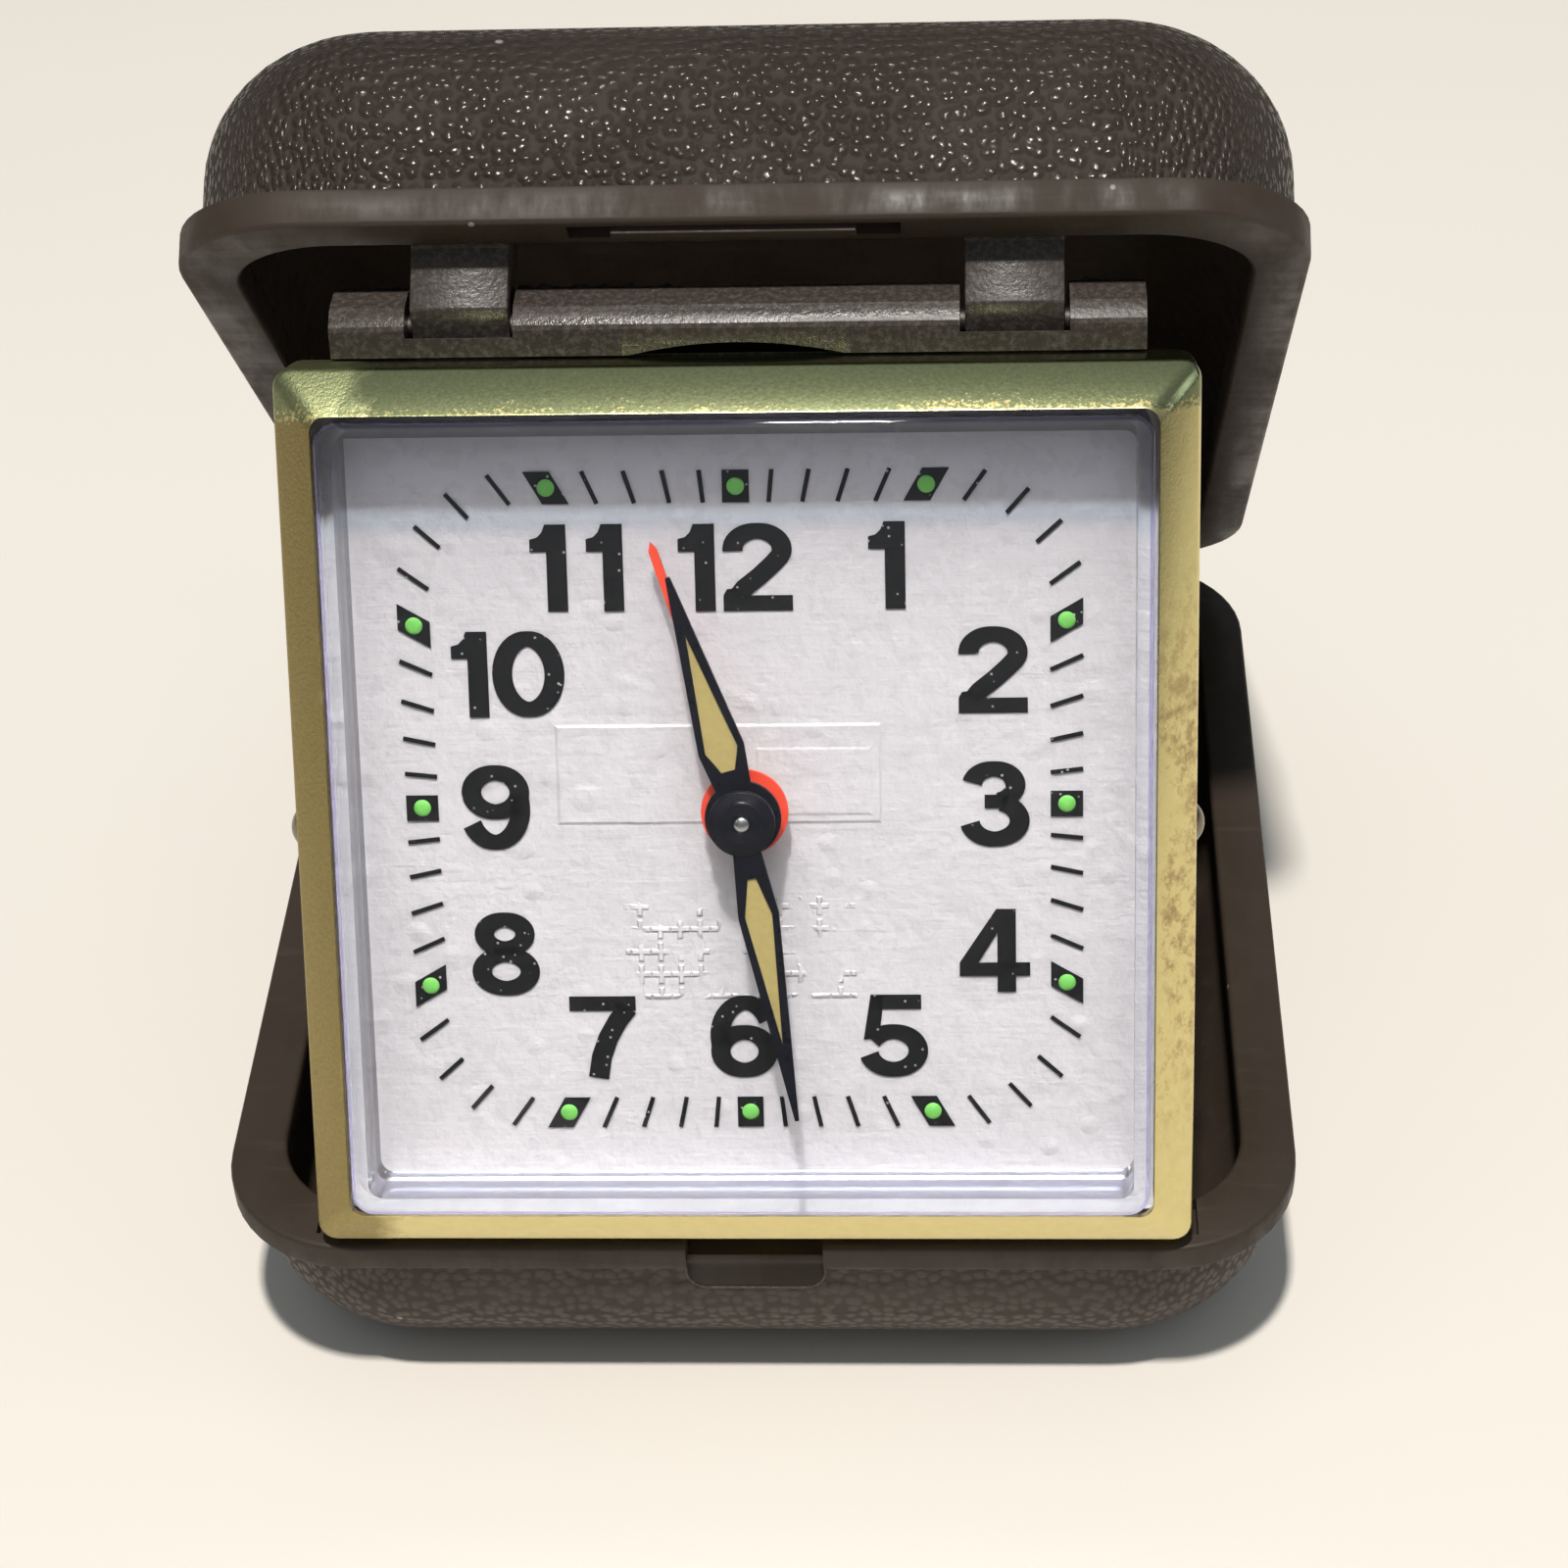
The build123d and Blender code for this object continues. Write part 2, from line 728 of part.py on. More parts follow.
# Flat-sided teeth, thinner than their gaps so that a pair runs free
def gear(teeth, module, phase=0.0, bore=0.0):
    pitch = module * teeth / 2
    tip = pitch + addendum_share * module
    root = pitch - dedendum_share * module
    step = 360.0 / teeth
    points = []
    for index in range(teeth):
        middle = phase + index * step
        points.append(polar(root, middle - step * tooth_root_share / 2))
        points.append(polar(tip, middle - step * tooth_tip_share / 2))
        points.append(polar(tip, middle + step * tooth_tip_share / 2))
        points.append(polar(root, middle + step * tooth_root_share / 2))
    shape = outline(points)
    return shape - Circle(bore) if bore > 0 else shape


def saw(teeth, tip, root, lean_share, phase=0.0, bore=0.0):
    step = 360.0 / teeth
    points = []
    for index in range(teeth):
        middle = phase + index * step
        points.append(polar(root, middle))
        points.append(polar(tip, middle + step * lean_share))
    shape = outline(points)
    return shape - Circle(bore) if bore > 0 else shape


# The second wheel's turn that puts its gap on the first wheel's tooth
def meshed(first_teeth, first_phase, bearing, second_teeth):
    carried = (first_phase - bearing) * first_teeth / 360.0
    return bearing + 180.0 + (0.5 - carried) * 360.0 / second_teeth


barrel_phase = meshed(centre_pinion_teeth, 0.0, time_barrel_bearing, barrel_teeth)
third_phase = meshed(centre_wheel_teeth, 0.0, third_bearing, third_pinion_teeth)
fourth_phase = meshed(third_wheel_teeth, 0.0, fourth_bearing, fourth_pinion_teeth)
escape_phase = meshed(fourth_wheel_teeth, 0.0, escape_bearing, escape_pinion_teeth)
minute_phase = meshed(cannon_pinion_teeth, 0.0, minute_wheel_bearing, minute_wheel_teeth)
hour_phase = meshed(minute_pinion_teeth, 0.0, minute_wheel_bearing + 180.0, hour_wheel_teeth)
alarm_set_phase = meshed(alarm_wheel_teeth, 0.0, alarm_set_bearing, alarm_set_pinion_teeth)
alarm_drive_phase = meshed(barrel_teeth, 0.0, alarm_escape_bearing, alarm_drive_pinion_teeth)


def arbor(x, z, front_pivot=True, back_pivot=True, radius=arbor_radius):
    shaft = rod(radius, plate_front_back + end_shake, back_plate_front - end_shake, x, z)
    if front_pivot:
        shaft = shaft + rod(pivot_radius, plate_front, plate_front_back + end_shake, x, z)
    if back_pivot:
        shaft = shaft + rod(pivot_radius, back_plate_front - end_shake, back_plate_back, x, z)
    return shaft


def wheel_at(teeth, module, phase, front, length, place):
    return slab(gear(teeth, module, phase), front, front + length, place[0], place[1])


def make_centre_wheel():
    shaft = rod(centre_arbor_radius, card_front - minute_hand_height - end_shake, plate_front_back + end_shake)
    shaft = shaft + rod(arbor_radius, plate_front_back + end_shake, back_plate_front - end_shake)
    shaft = shaft + rod(pivot_radius, back_plate_front - end_shake, back_plate_back)
    pinion = wheel_at(centre_pinion_teeth, barrel_module, 0.0, plate_front_back + 2 * end_shake,
                      pinion_length, (0, 0))
    wheel = wheel_at(centre_wheel_teeth, train_module, 0.0, centre_wheel_front, wheel_thickness, (0, 0))
    return shaft + pinion + wheel


def make_third_wheel():
    wheel = wheel_at(third_wheel_teeth, fine_module, 0.0, third_wheel_front, wheel_thickness, third_at)
    pinion = wheel_at(third_pinion_teeth, train_module, third_phase,
                      centre_wheel_front - wheel_thickness / 2, pinion_length, third_at)
    return arbor(*third_at) + wheel + pinion


def make_fourth_wheel():
    wheel = wheel_at(fourth_wheel_teeth, fine_module, 0.0, fourth_wheel_front, wheel_thickness, fourth_at)
    pinion = wheel_at(fourth_pinion_teeth, fine_module, fourth_phase,
                      third_wheel_front - wheel_thickness / 2, pinion_length, fourth_at)
    return arbor(*fourth_at) + wheel + pinion


def make_escape_wheel():
    sketch = saw(escape_teeth, escape_radius, escape_root_radius, tooth_tip_share)
    wheel = slab(sketch, escape_wheel_front, escape_wheel_front + wheel_thickness, *escape_at)
    pinion = wheel_at(escape_pinion_teeth, fine_module, escape_phase,
                      fourth_wheel_front - wheel_thickness / 2, pinion_length, escape_at)
    return arbor(*escape_at) + wheel + pinion


# The drum is closed and holds the mainspring; its toothed lid faces the dial
def make_barrel(place, phase):
    x, z = place
    teeth = slab(gear(barrel_teeth, barrel_module, phase), plate_front_back + 2 * end_shake,
                 barrel_front, x, z)
    drum = rod(barrel_drum_radius, barrel_front - end_shake, barrel_back, x, z)
    bore = rod(barrel_arbor_radius + pin_fit, plate_front_back - overrun, barrel_back + overrun, x, z)
    return teeth + drum - bore


def make_barrel_arbor(place):
    x, z = place
    shaft = rod(barrel_arbor_radius, plate_front_back + end_shake, can_back + key_gap / 2, x, z)
    nose = rod(pivot_radius, plate_front, plate_front_back + 2 * end_shake, x, z)
    spigot = rod(key_spigot_radius, can_back, can_back + key_gap + key_hub_length, x, z)
    front = back_plate_back + end_shake
    wheel = slab(saw(ratchet_teeth, ratchet_radius, ratchet_root_radius, 0.0), front,
                 front + ratchet_thickness, x, z)
    return shaft + nose + spigot + wheel


def make_click(place, bearing):
    pivot = polar(click_distance, bearing, place)
    front = back_plate_back + end_shake
    back = front + ratchet_thickness
    body = rod(click_radius, front, back, *pivot)
    aim = bearing + 90.0
    tip = polar(ratchet_radius + click_room, bearing + click_nose_bearing, place)
    edge = polar(click_radius, aim, pivot)
    heel = polar(click_radius, bearing, pivot)
    nose = slab(outline([edge, heel, polar(click_length, aim, pivot), tip]), front, back)
    post = rod(pivot_radius, back_plate_front + end_shake, front + end_shake, *pivot)
    return body + nose + post


def make_cannon_pinion():
    front = card_front - minute_hand_height + hand_thickness
    tube = rod(cannon_radius, front, plate_front - end_shake)
    pinion = slab(gear(cannon_pinion_teeth, motion_module), minute_wheel_front - wheel_thickness / 3,
                  plate_front - end_shake)
    bore = rod(centre_arbor_radius + tube_fit / 2, front - overrun, plate_front + overrun)
    return tube + pinion - bore


def make_minute_wheel():
    x, z = minute_wheel_at
    wheel = wheel_at(minute_wheel_teeth, motion_module, minute_phase, minute_wheel_front,
                     wheel_thickness, minute_wheel_at)
    pinion = wheel_at(minute_pinion_teeth, motion_module, 0.0, hour_wheel_front - wheel_thickness / 3,
                      minute_wheel_front - hour_wheel_front + wheel_thickness / 2, minute_wheel_at)
    shaft = rod(arbor_radius, minute_wheel_front, can_back + key_gap / 2, x, z)
    nose = rod(pivot_radius, card_back + end_shake, minute_wheel_front + end_shake, x, z)
    spigot = rod(pivot_radius, can_back, can_back + key_gap + knob_length / 2, x, z)
    return wheel + pinion + shaft + nose + spigot


def make_hour_wheel():
    wheel = slab(gear(hour_wheel_teeth, motion_module, hour_phase), hour_wheel_front,
                 hour_wheel_front + wheel_thickness)
    front = card_front - hour_hand_height + hand_thickness
    tube = rod(hour_tube_radius, front, hour_wheel_front + wheel_thickness / 2)
    bore = rod(cannon_radius + tube_fit, front - overrun, plate_front)
    return wheel + tube - bore


def make_alarm_wheel():
    wheel = slab(gear(alarm_wheel_teeth, alarm_module), alarm_wheel_front,
                 alarm_wheel_front + wheel_thickness)
    front = card_front - alarm_hand_height + hand_thickness
    tube = rod(alarm_tube_radius, front, alarm_wheel_front + wheel_thickness / 2)
    bore = rod(hour_tube_radius + tube_fit, front - overrun, plate_front)
    return wheel + tube - bore


def make_alarm_set_arbor():
    x, z = alarm_set_at
    pinion = wheel_at(alarm_set_pinion_teeth, alarm_module, alarm_set_phase, alarm_wheel_front - end_shake,
                      wheel_thickness + 2 * end_shake, alarm_set_at)
    shaft = rod(arbor_radius, alarm_wheel_front + wheel_thickness, can_back + key_gap / 2, x, z)
    spigot = rod(pivot_radius, can_back, can_back + key_gap + knob_length / 2, x, z)
    return pinion + shaft + spigot


def make_alarm_escape_wheel():
    x, z = alarm_escape_at
    sketch = saw(escape_teeth, alarm_escape_radius, alarm_escape_root_radius, tooth_tip_share)
    front = barrel_back + wheel_thickness
    wheel = slab(sketch, front, front + wheel_thickness, x, z)
    pinion = wheel_at(alarm_drive_pinion_teeth, barrel_module, alarm_drive_phase,
                      plate_front_back + 2 * end_shake, pinion_length, alarm_escape_at)
    return arbor(x, z) + wheel + pinion


def make_hammer():
    x, z = hammer_at
    front = barrel_back + wheel_thickness
    back = front + wheel_thickness
    head_at = polar(hammer_arm_length, hammer_arm_bearing, hammer_at)
    angle = math.degrees(math.atan2(alarm_escape_at[1] - z, alarm_escape_at[0] - x))
    arm = bar_between(hammer_at, head_at, hammer_arm_half_width)
    pallet = bar_between(hammer_at, polar(hammer_pallet_reach, angle, hammer_at), hammer_arm_half_width)
    body = slab(arm + pallet, front, back)
    return arbor(x, z) + body + rod(hammer_head_radius, front, back + wheel_thickness, *head_at)


def bar_between(start, end, half_width):
    length = math.hypot(end[0] - start[0], end[1] - start[1])
    across = ((start[1] - end[1]) * half_width / length, (end[0] - start[0]) * half_width / length)
    return outline([(start[0] + across[0], start[1] + across[1]), (end[0] + across[0], end[1] + across[1]),
                    (end[0] - across[0], end[1] - across[1]), (start[0] - across[0], start[1] - across[1])])


def make_balance():
    x, z = balance_at
    rim = Circle(balance_radius) - Circle(balance_radius - balance_rim)
    inner = 2 * balance_radius - balance_rim
    spoke = Rectangle(inner, balance_spoke) + Rectangle(balance_spoke, inner)
    wheel = slab(rim + spoke, balance_front, balance_front + balance_thickness, x, z)
    roller = rod(roller_radius, balance_front - end_shake, balance_front + balance_thickness + end_shake, x, z)
    return arbor(x, z) + wheel + roller


def spiral_points(radius_offset):
    steps = hairspring_turns * 16
    points = []
    for index in range(steps + 1):
        share = index / steps
        radius = hairspring_inner + (hairspring_outer - hairspring_inner) * share + radius_offset
        points.append(polar(radius, 360.0 * hairspring_turns * share))
    return points


def make_hairspring():
    outer = spiral_points(hairspring_width)
    inner = spiral_points(0)
    front = balance_front - hairspring_height - 4 * end_shake
    ribbon = slab(outline(outer + inner[::-1]), front, front + hairspring_height, *balance_at)
    collet = rod(hairspring_inner + hairspring_width / 2, front, front + hairspring_height, *balance_at)
    bore = rod(arbor_radius + pin_fit, front - overrun, front + overrun, *balance_at)
    return ribbon + collet - bore


# The point a distance from start in the direction of end, and the one the same distance to the left
def towards(start, end, distance):
    share = distance / math.dist(start, end)
    return (start[0] + (end[0] - start[0]) * share, start[1] + (end[1] - start[1]) * share)


def beside(start, end, distance):
    share = distance / math.dist(start, end)
    return (start[0] - (end[1] - start[1]) * share, start[1] + (end[0] - start[0]) * share)


def make_fork():
    x, z = fork_at
    left = beside(fork_at, escape_at, fork_span)
    right = beside(fork_at, escape_at, -fork_span)
    tail = towards(fork_at, balance_at, fork_tail)
    shape = bar_between(left, right, fork_half_width) + bar_between(fork_at, tail, fork_half_width)
    for corner in (left, right):
        ahead = (corner[0] + escape_at[0] - x, corner[1] + escape_at[1] - z)
        shape = shape + bar_between(corner, towards(corner, ahead, pallet_reach), fork_half_width)
    return arbor(x, z) + slab(shape, escape_wheel_front, escape_wheel_front + wheel_thickness)


def pivoted():
    return [third_at, fourth_at, escape_at, alarm_escape_at, hammer_at, balance_at, fork_at]


def pillar_places():
    return [polar(plate_radius - pillar_inset, bearing) for bearing in pillar_bearings]


def drilled(front, back, arbor_holes):
    plate = rod(plate_radius, front, back)
    for place in pivoted():
        plate = plate - rod(pivot_radius + pivot_fit, front - overrun, back + overrun, *place)
    for place, radius in arbor_holes:
        plate = plate - rod(radius, front - overrun, back + overrun, *place)
    for place in pillar_places():
        plate = plate - rod(pivot_radius + pivot_fit, front - overrun, back + overrun, *place)
    return plate


def make_front_plate():
    holes = [((0, 0), centre_arbor_radius + pivot_fit), (minute_wheel_at, arbor_radius + pivot_fit),
             (alarm_set_at, arbor_radius + pivot_fit), (time_barrel_at, pivot_radius + pivot_fit),
             (alarm_barrel_at, pivot_radius + pivot_fit)]
    return drilled(plate_front, plate_front_back, holes)


def make_back_plate():
    holes = [((0, 0), pivot_radius + pivot_fit), (minute_wheel_at, arbor_radius + pivot_fit),
             (alarm_set_at, arbor_radius + pivot_fit), (time_barrel_at, barrel_arbor_radius + pivot_fit),
             (alarm_barrel_at, barrel_arbor_radius + pivot_fit),
             (polar(click_distance, click_bearing_time, time_barrel_at), pivot_radius + pivot_fit),
             (polar(click_distance, click_bearing_alarm, alarm_barrel_at), pivot_radius + pivot_fit)]
    return drilled(back_plate_front, back_plate_back, holes)


def make_pillar(index):
    x, z = pillar_places()[index]
    body = rod(pillar_radius, plate_front_back, back_plate_front, x, z)
    ends = rod(pivot_radius, plate_front, back_plate_back + nut_height, x, z)
    return body + ends


def make_nut(index):
    x, z = pillar_places()[index]
    shape = RegularPolygon(nut_radius, 6) - Circle(pivot_radius + pivot_fit)
    return slab(shape, back_plate_back, back_plate_back + nut_height, x, z)


def can_screw_places():
    step = 360.0 / can_screw_count
    reach = (can_radius + can_flange_radius) / 2
    return [polar(reach, can_screw_start + index * step) for index in range(can_screw_count)]


def make_can():
    can = rod(can_flange_radius, can_front, can_front + can_sheet)
    can = can + rod(can_radius, can_front, can_back)
    can = can - rod(can_radius - can_sheet, can_front - overrun, can_back - can_sheet)
    for place, radius in [(time_barrel_at, barrel_arbor_radius), (alarm_barrel_at, barrel_arbor_radius),
                          (minute_wheel_at, arbor_radius), (alarm_set_at, arbor_radius)]:
        can = can - rod(radius + slot_room, can_back - overrun, can_back + overrun, *place)
    for place in can_screw_places():
        can = can - rod(can_screw_radius + pin_fit, can_front - overrun, can_front + overrun, *place)
    half = shutoff_width / 2 + slot_room
    can = can - block(-half, half + shutoff_travel, can_back - overrun, can_back + overrun,
                      -shutoff_down - half, -shutoff_down + half)
    x, z = balance_at
    slot = Circle(regulator_length - slot_room) - Circle(regulator_length - regulator_width - 3 * slot_room)
    wedge_reach = 2 * regulator_length
    wedge = outline([(0, 0), polar(wedge_reach, 90 - 2 * regulator_swing),
                     polar(wedge_reach, 90 + 2 * regulator_swing)])
    return can - slab(slot & wedge, can_back - overrun, can_back + overrun, x, z)


def make_can_screw(index):
    x, z = can_screw_places()[index]
    head = rod(can_screw_head_radius, can_front + can_sheet, can_front + can_sheet + can_screw_head, x, z)
    cut = block(x - can_screw_radius / 3, x + can_screw_radius / 3,
                can_front + can_sheet + can_screw_head / 2, can_front + can_sheet + can_screw_head + overrun,
                z - can_screw_head_radius - overrun, z + can_screw_head_radius + overrun)
    shank = rod(can_screw_radius, frame_back - frame_thickness / 2, can_front + can_sheet + end_shake, x, z)
    return head + shank - cut


def make_ring():
    outer = can_radius - can_sheet - ring_room
    ring = Circle(outer) - Circle(outer - ring_thickness)
    return slab(ring, can_front + can_sheet, can_back - can_sheet - ring_room)


def make_key(place):
    x, z = place
    front = can_back + key_gap
    hub = rod(key_hub_radius, front, front + key_hub_length, x, z)
    wing = RectangleRounded(key_wing_span, key_wing_height, key_wing_thickness / 2)
    wing_middle = front + key_hub_length + key_wing_height / 2
    bow = extrude(Plane.XY.offset(-key_wing_thickness / 2) * wing, amount=key_wing_thickness)
    bow = Pos(x, wing_middle - overrun / 4, z) * bow
    bore = rod(key_spigot_radius + pin_fit, front - overrun, front + key_hub_length + pin_fit, x, z)
    return hub + bow - bore


def make_knob(place):
    x, z = place
    step = 360.0 / knob_ridges
    points = []
    for index in range(knob_ridges):
        points.append(polar(knob_radius, index * step))
        points.append(polar(knob_radius - knob_ridge_depth, (index + 0.5) * step))
    front = can_back + key_gap
    body = slab(outline(points), front, front + knob_length, x, z)
    return body - rod(pivot_radius + pin_fit, front - overrun, front + knob_length / 2 + pin_fit, x, z)


def make_shutoff():
    half = shutoff_width / 2
    foot_back = can_back - can_sheet - end_shake
    foot_front = foot_back - shutoff_foot_thickness
    cap_front = can_back + end_shake
    stem = block(-half, half, foot_front, cap_front + overrun / 2, -shutoff_down - half, -shutoff_down + half)
    wide = shutoff_cap_width / 2
    tall = shutoff_cap_height / 2
    foot = block(-wide, wide, foot_front, foot_back, -shutoff_down - tall, -shutoff_down + tall)
    cap = block(-wide, wide, cap_front, cap_front + shutoff_cap_thickness,
                -shutoff_down - tall, -shutoff_down + tall)
    return stem + foot + cap


def make_regulator():
    x, z = balance_at
    front = back_plate_back + end_shake
    hub = Circle(regulator_hub_radius) - Circle(pivot_radius + pivot_fit)
    arm = Pos(0, regulator_length / 2) * Rectangle(regulator_width, regulator_length)
    body = slab(hub + (arm - Circle(regulator_hub_radius)), front, front + wheel_thickness, x, z)
    end = regulator_length - regulator_width - slot_room
    post = block(-regulator_width / 2, regulator_width / 2, front, can_back + key_gap * 3,
                 end, end + regulator_width)
    return body + Pos(x, 0, z) * post


def parts():
    made = {
        "base_shell": make_base(),
        "lid_shell": in_lid(make_lid()),
        "lid_catch": in_lid(make_catch()),
        "rear_hinge_pin_left": Pos(0, hinge_y, hinge_z) * make_rear_pin(-1),
        "rear_hinge_pin_right": Pos(0, hinge_y, hinge_z) * make_rear_pin(1),
        "hinge_frame": in_head(make_frame()),
        "bar_pin": in_head(make_bar_pin()),
        "bezel": at_middle(make_bezel()),
        "bezel_stud_left": at_middle(make_stud(-1)),
        "bezel_stud_right": at_middle(make_stud(1)),
        "crystal": at_middle(make_crystal()),
        "dial_card": at_middle(make_dial_card()),
        "dial_plate": at_middle(make_dial_plate()),
        "minute_hand": at_middle(make_minute_hand()),
        "minute_hand_glow": at_middle(make_minute_glow()),
        "hour_hand": at_middle(make_hour_hand()),
        "hour_hand_glow": at_middle(make_hour_glow()),
        "alarm_hand": at_middle(make_alarm_hand()),
        "centre_wheel": at_middle(make_centre_wheel()),
        "cannon_pinion": at_middle(make_cannon_pinion()),
        "minute_wheel": at_middle(make_minute_wheel()),
        "hour_wheel": at_middle(make_hour_wheel()),
        "alarm_wheel": at_middle(make_alarm_wheel()),
        "alarm_set_arbor": at_middle(make_alarm_set_arbor()),
        "third_wheel": at_middle(make_third_wheel()),
        "fourth_wheel": at_middle(make_fourth_wheel()),
        "escape_wheel": at_middle(make_escape_wheel()),
        "pallet_fork": at_middle(make_fork()),
        "balance_wheel": at_middle(make_balance()),
        "hairspring": at_middle(make_hairspring()),
        "time_barrel": at_middle(make_barrel(time_barrel_at, barrel_phase)),
        "time_barrel_arbor": at_middle(make_barrel_arbor(time_barrel_at)),
        "time_click": at_middle(make_click(time_barrel_at, click_bearing_time)),
        "alarm_barrel": at_middle(make_barrel(alarm_barrel_at, 0.0)),
        "alarm_barrel_arbor": at_middle(make_barrel_arbor(alarm_barrel_at)),
        "alarm_click": at_middle(make_click(alarm_barrel_at, click_bearing_alarm)),
        "alarm_escape_wheel": at_middle(make_alarm_escape_wheel()),
        "alarm_hammer": at_middle(make_hammer()),
        "front_plate": at_middle(make_front_plate()),
        "back_plate": at_middle(make_back_plate()),
        "movement_ring": at_middle(make_ring()),
        "movement_can": at_middle(make_can()),
        "time_key": at_middle(make_key(time_barrel_at)),
        "alarm_key": at_middle(make_key(alarm_barrel_at)),
        "time_set_knob": at_middle(make_knob(minute_wheel_at)),
        "alarm_set_knob": at_middle(make_knob(alarm_set_at)),
        "alarm_shutoff": at_middle(make_shutoff()),
        "regulator": at_middle(make_regulator()),
    }
    for index in range(len(pillar_bearings)):
        made["pillar_" + str(index + 1)] = at_middle(make_pillar(index))
        made["pillar_nut_" + str(index + 1)] = at_middle(make_nut(index))
    for index in range(can_screw_count):
        made["can_screw_" + str(index + 1)] = at_middle(make_can_screw(index))
    return made


os.makedirs("parts", exist_ok=True)
for name, shape in parts().items():
    export_step(shape, os.path.join("parts", name + ".step"))
print("pin", pin_y, pin_z, "middle", head_middle)
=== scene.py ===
# %% [markdown]
# A folding travel alarm clock
# The clock stands open: a leather-grained clamshell, a brass-framed clock head
# that hangs between two arms of the lid, a clear box crystal and a white dial.
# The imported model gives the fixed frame. Every new piece is drawn in millimetres
# in a simple upright position and then carried to its place by one matrix.

# %% Load the frame
import json
import math
import random
import bmesh
import bpy
from mathutils import Matrix, Vector
from mathutils.noise import noise as noise_of


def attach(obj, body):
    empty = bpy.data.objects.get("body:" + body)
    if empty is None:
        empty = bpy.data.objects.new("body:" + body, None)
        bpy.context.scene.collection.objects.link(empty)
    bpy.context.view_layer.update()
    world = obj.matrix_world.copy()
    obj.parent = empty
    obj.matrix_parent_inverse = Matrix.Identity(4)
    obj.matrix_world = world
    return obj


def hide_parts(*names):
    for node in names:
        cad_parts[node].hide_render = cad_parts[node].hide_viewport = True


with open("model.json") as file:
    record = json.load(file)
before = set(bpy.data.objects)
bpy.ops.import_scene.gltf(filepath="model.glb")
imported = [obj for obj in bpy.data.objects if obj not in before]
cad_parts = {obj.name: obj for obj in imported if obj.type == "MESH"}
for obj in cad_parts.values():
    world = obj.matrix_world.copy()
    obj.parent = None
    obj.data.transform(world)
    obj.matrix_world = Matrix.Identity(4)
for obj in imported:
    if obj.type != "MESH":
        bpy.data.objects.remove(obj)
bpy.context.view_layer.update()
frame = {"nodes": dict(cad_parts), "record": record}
nodes = frame["nodes"]

# %% [markdown]
# Two places carry everything. The lid turns on the rear hinge, and the clock head
# turns on the bar pin. Both are read from the joints of the frame, and the lean of
# the head is read from the axis of the minute hand. So the scene follows the model
# when a size there changes, and no angle is written twice.

# %% Places of the lid and the head
mm = 0.001
quarter_turn = Matrix.Rotation(math.radians(90), 4, "X")
joint = {entry["name"]: entry for entry in frame["record"]["behaviour"]["joints"]}
hinge_at = Vector(joint["lid_hinge"]["pos_m"])
pin_at = Vector(joint["head_fold"]["pos_m"])
hand_axis = Vector(joint["minute_turn"]["axis"])
lean = math.atan2(-hand_axis.z, hand_axis.y)
case_depth = 74.0
arm_setback = 5.87
arm_drop = 4.02
pin_reach = pin_at - hinge_at
opening = math.atan2(pin_reach.z, -pin_reach.y) + math.atan2(arm_drop, case_depth - arm_setback)
in_base = Matrix.Scale(mm, 4)
in_lid = Matrix.Translation(hinge_at) @ Matrix.Rotation(-opening, 4, "X") @ in_base
in_head = Matrix.Translation(pin_at) @ Matrix.Rotation(-lean, 4, "X") @ in_base
head_middle = -29.7
at_middle = in_head @ Matrix.Translation((0, 0, head_middle))
print("lid open", round(math.degrees(opening), 2), "head leans", round(math.degrees(lean), 2))

# %% [markdown]
# The camera stands where the photographer's did. Its height, turn and distance come
# from matching the two rims, the bezel and the hinge bar in the photograph with their
# real sizes, so it is placed by angles and not by eye.

# %% Camera
def in_scene(name, data):
    item = bpy.data.objects.new(name, data)
    bpy.context.scene.collection.objects.link(item)
    return item


camera_distance = 244.63
camera_elevation = math.radians(39.48)
camera_yaw = math.radians(-3.99)
camera_roll = math.radians(-2.86)
focal_pixels = 3571.89
frame_pixels = 1600
aim = Vector((0, 0, 25))
side_shift = 0.84
rise_shift = -2.47
forward = Vector((math.sin(camera_yaw) * math.cos(camera_elevation),
                  math.cos(camera_yaw) * math.cos(camera_elevation), -math.sin(camera_elevation)))
across = Vector((math.cos(camera_yaw), -math.sin(camera_yaw), 0))
upward = across.cross(forward)
stand = aim + across * side_shift + upward * rise_shift - forward * camera_distance
turned_across = across * math.cos(camera_roll) + upward * math.sin(camera_roll)
turned_upward = upward * math.cos(camera_roll) - across * math.sin(camera_roll)
lens = bpy.data.cameras.new("camera")
lens.sensor_width = 36.0
lens.lens = focal_pixels * lens.sensor_width / frame_pixels
lens.clip_start = 0.01
camera = in_scene("camera", lens)
camera.matrix_world = Matrix([*zip(turned_across, turned_upward, -forward, stand * mm), (0, 0, 0, 1)])
bpy.context.scene.camera = camera
print("lens", round(lens.lens, 2), "mm")

# %% [markdown]
# A material here is a small chain of nodes, and a few helpers keep the chains short.
# Give sets an input to a value or links it to a socket. A socket knows the tree that
# it belongs to, so a new node only needs to be told what it stands beside. All
# patterns read Object coordinates, which are metres in the clock's own frame, so a
# pattern scale of 1000 means one cell per millimetre.

# %% Node helpers
made = {}


def give(entry, value):
    if isinstance(value, bpy.types.Node):
        value = value.outputs[0]
    if isinstance(value, bpy.types.NodeSocket):
        entry.id_data.links.new(value, entry)
    else:
        entry.default_value = (*value, 1) if entry.type == "RGBA" else value


def add(beside, kind, **values):
    node = beside.id_data.nodes.new("ShaderNode" + kind)
    for name, value in values.items():
        if name.startswith("in_"):
            key = name[3:]
            give(node.inputs[int(key) if key.isdigit() else key.replace("_", " ")], value)
        else:
            setattr(node, name, value)
    return node


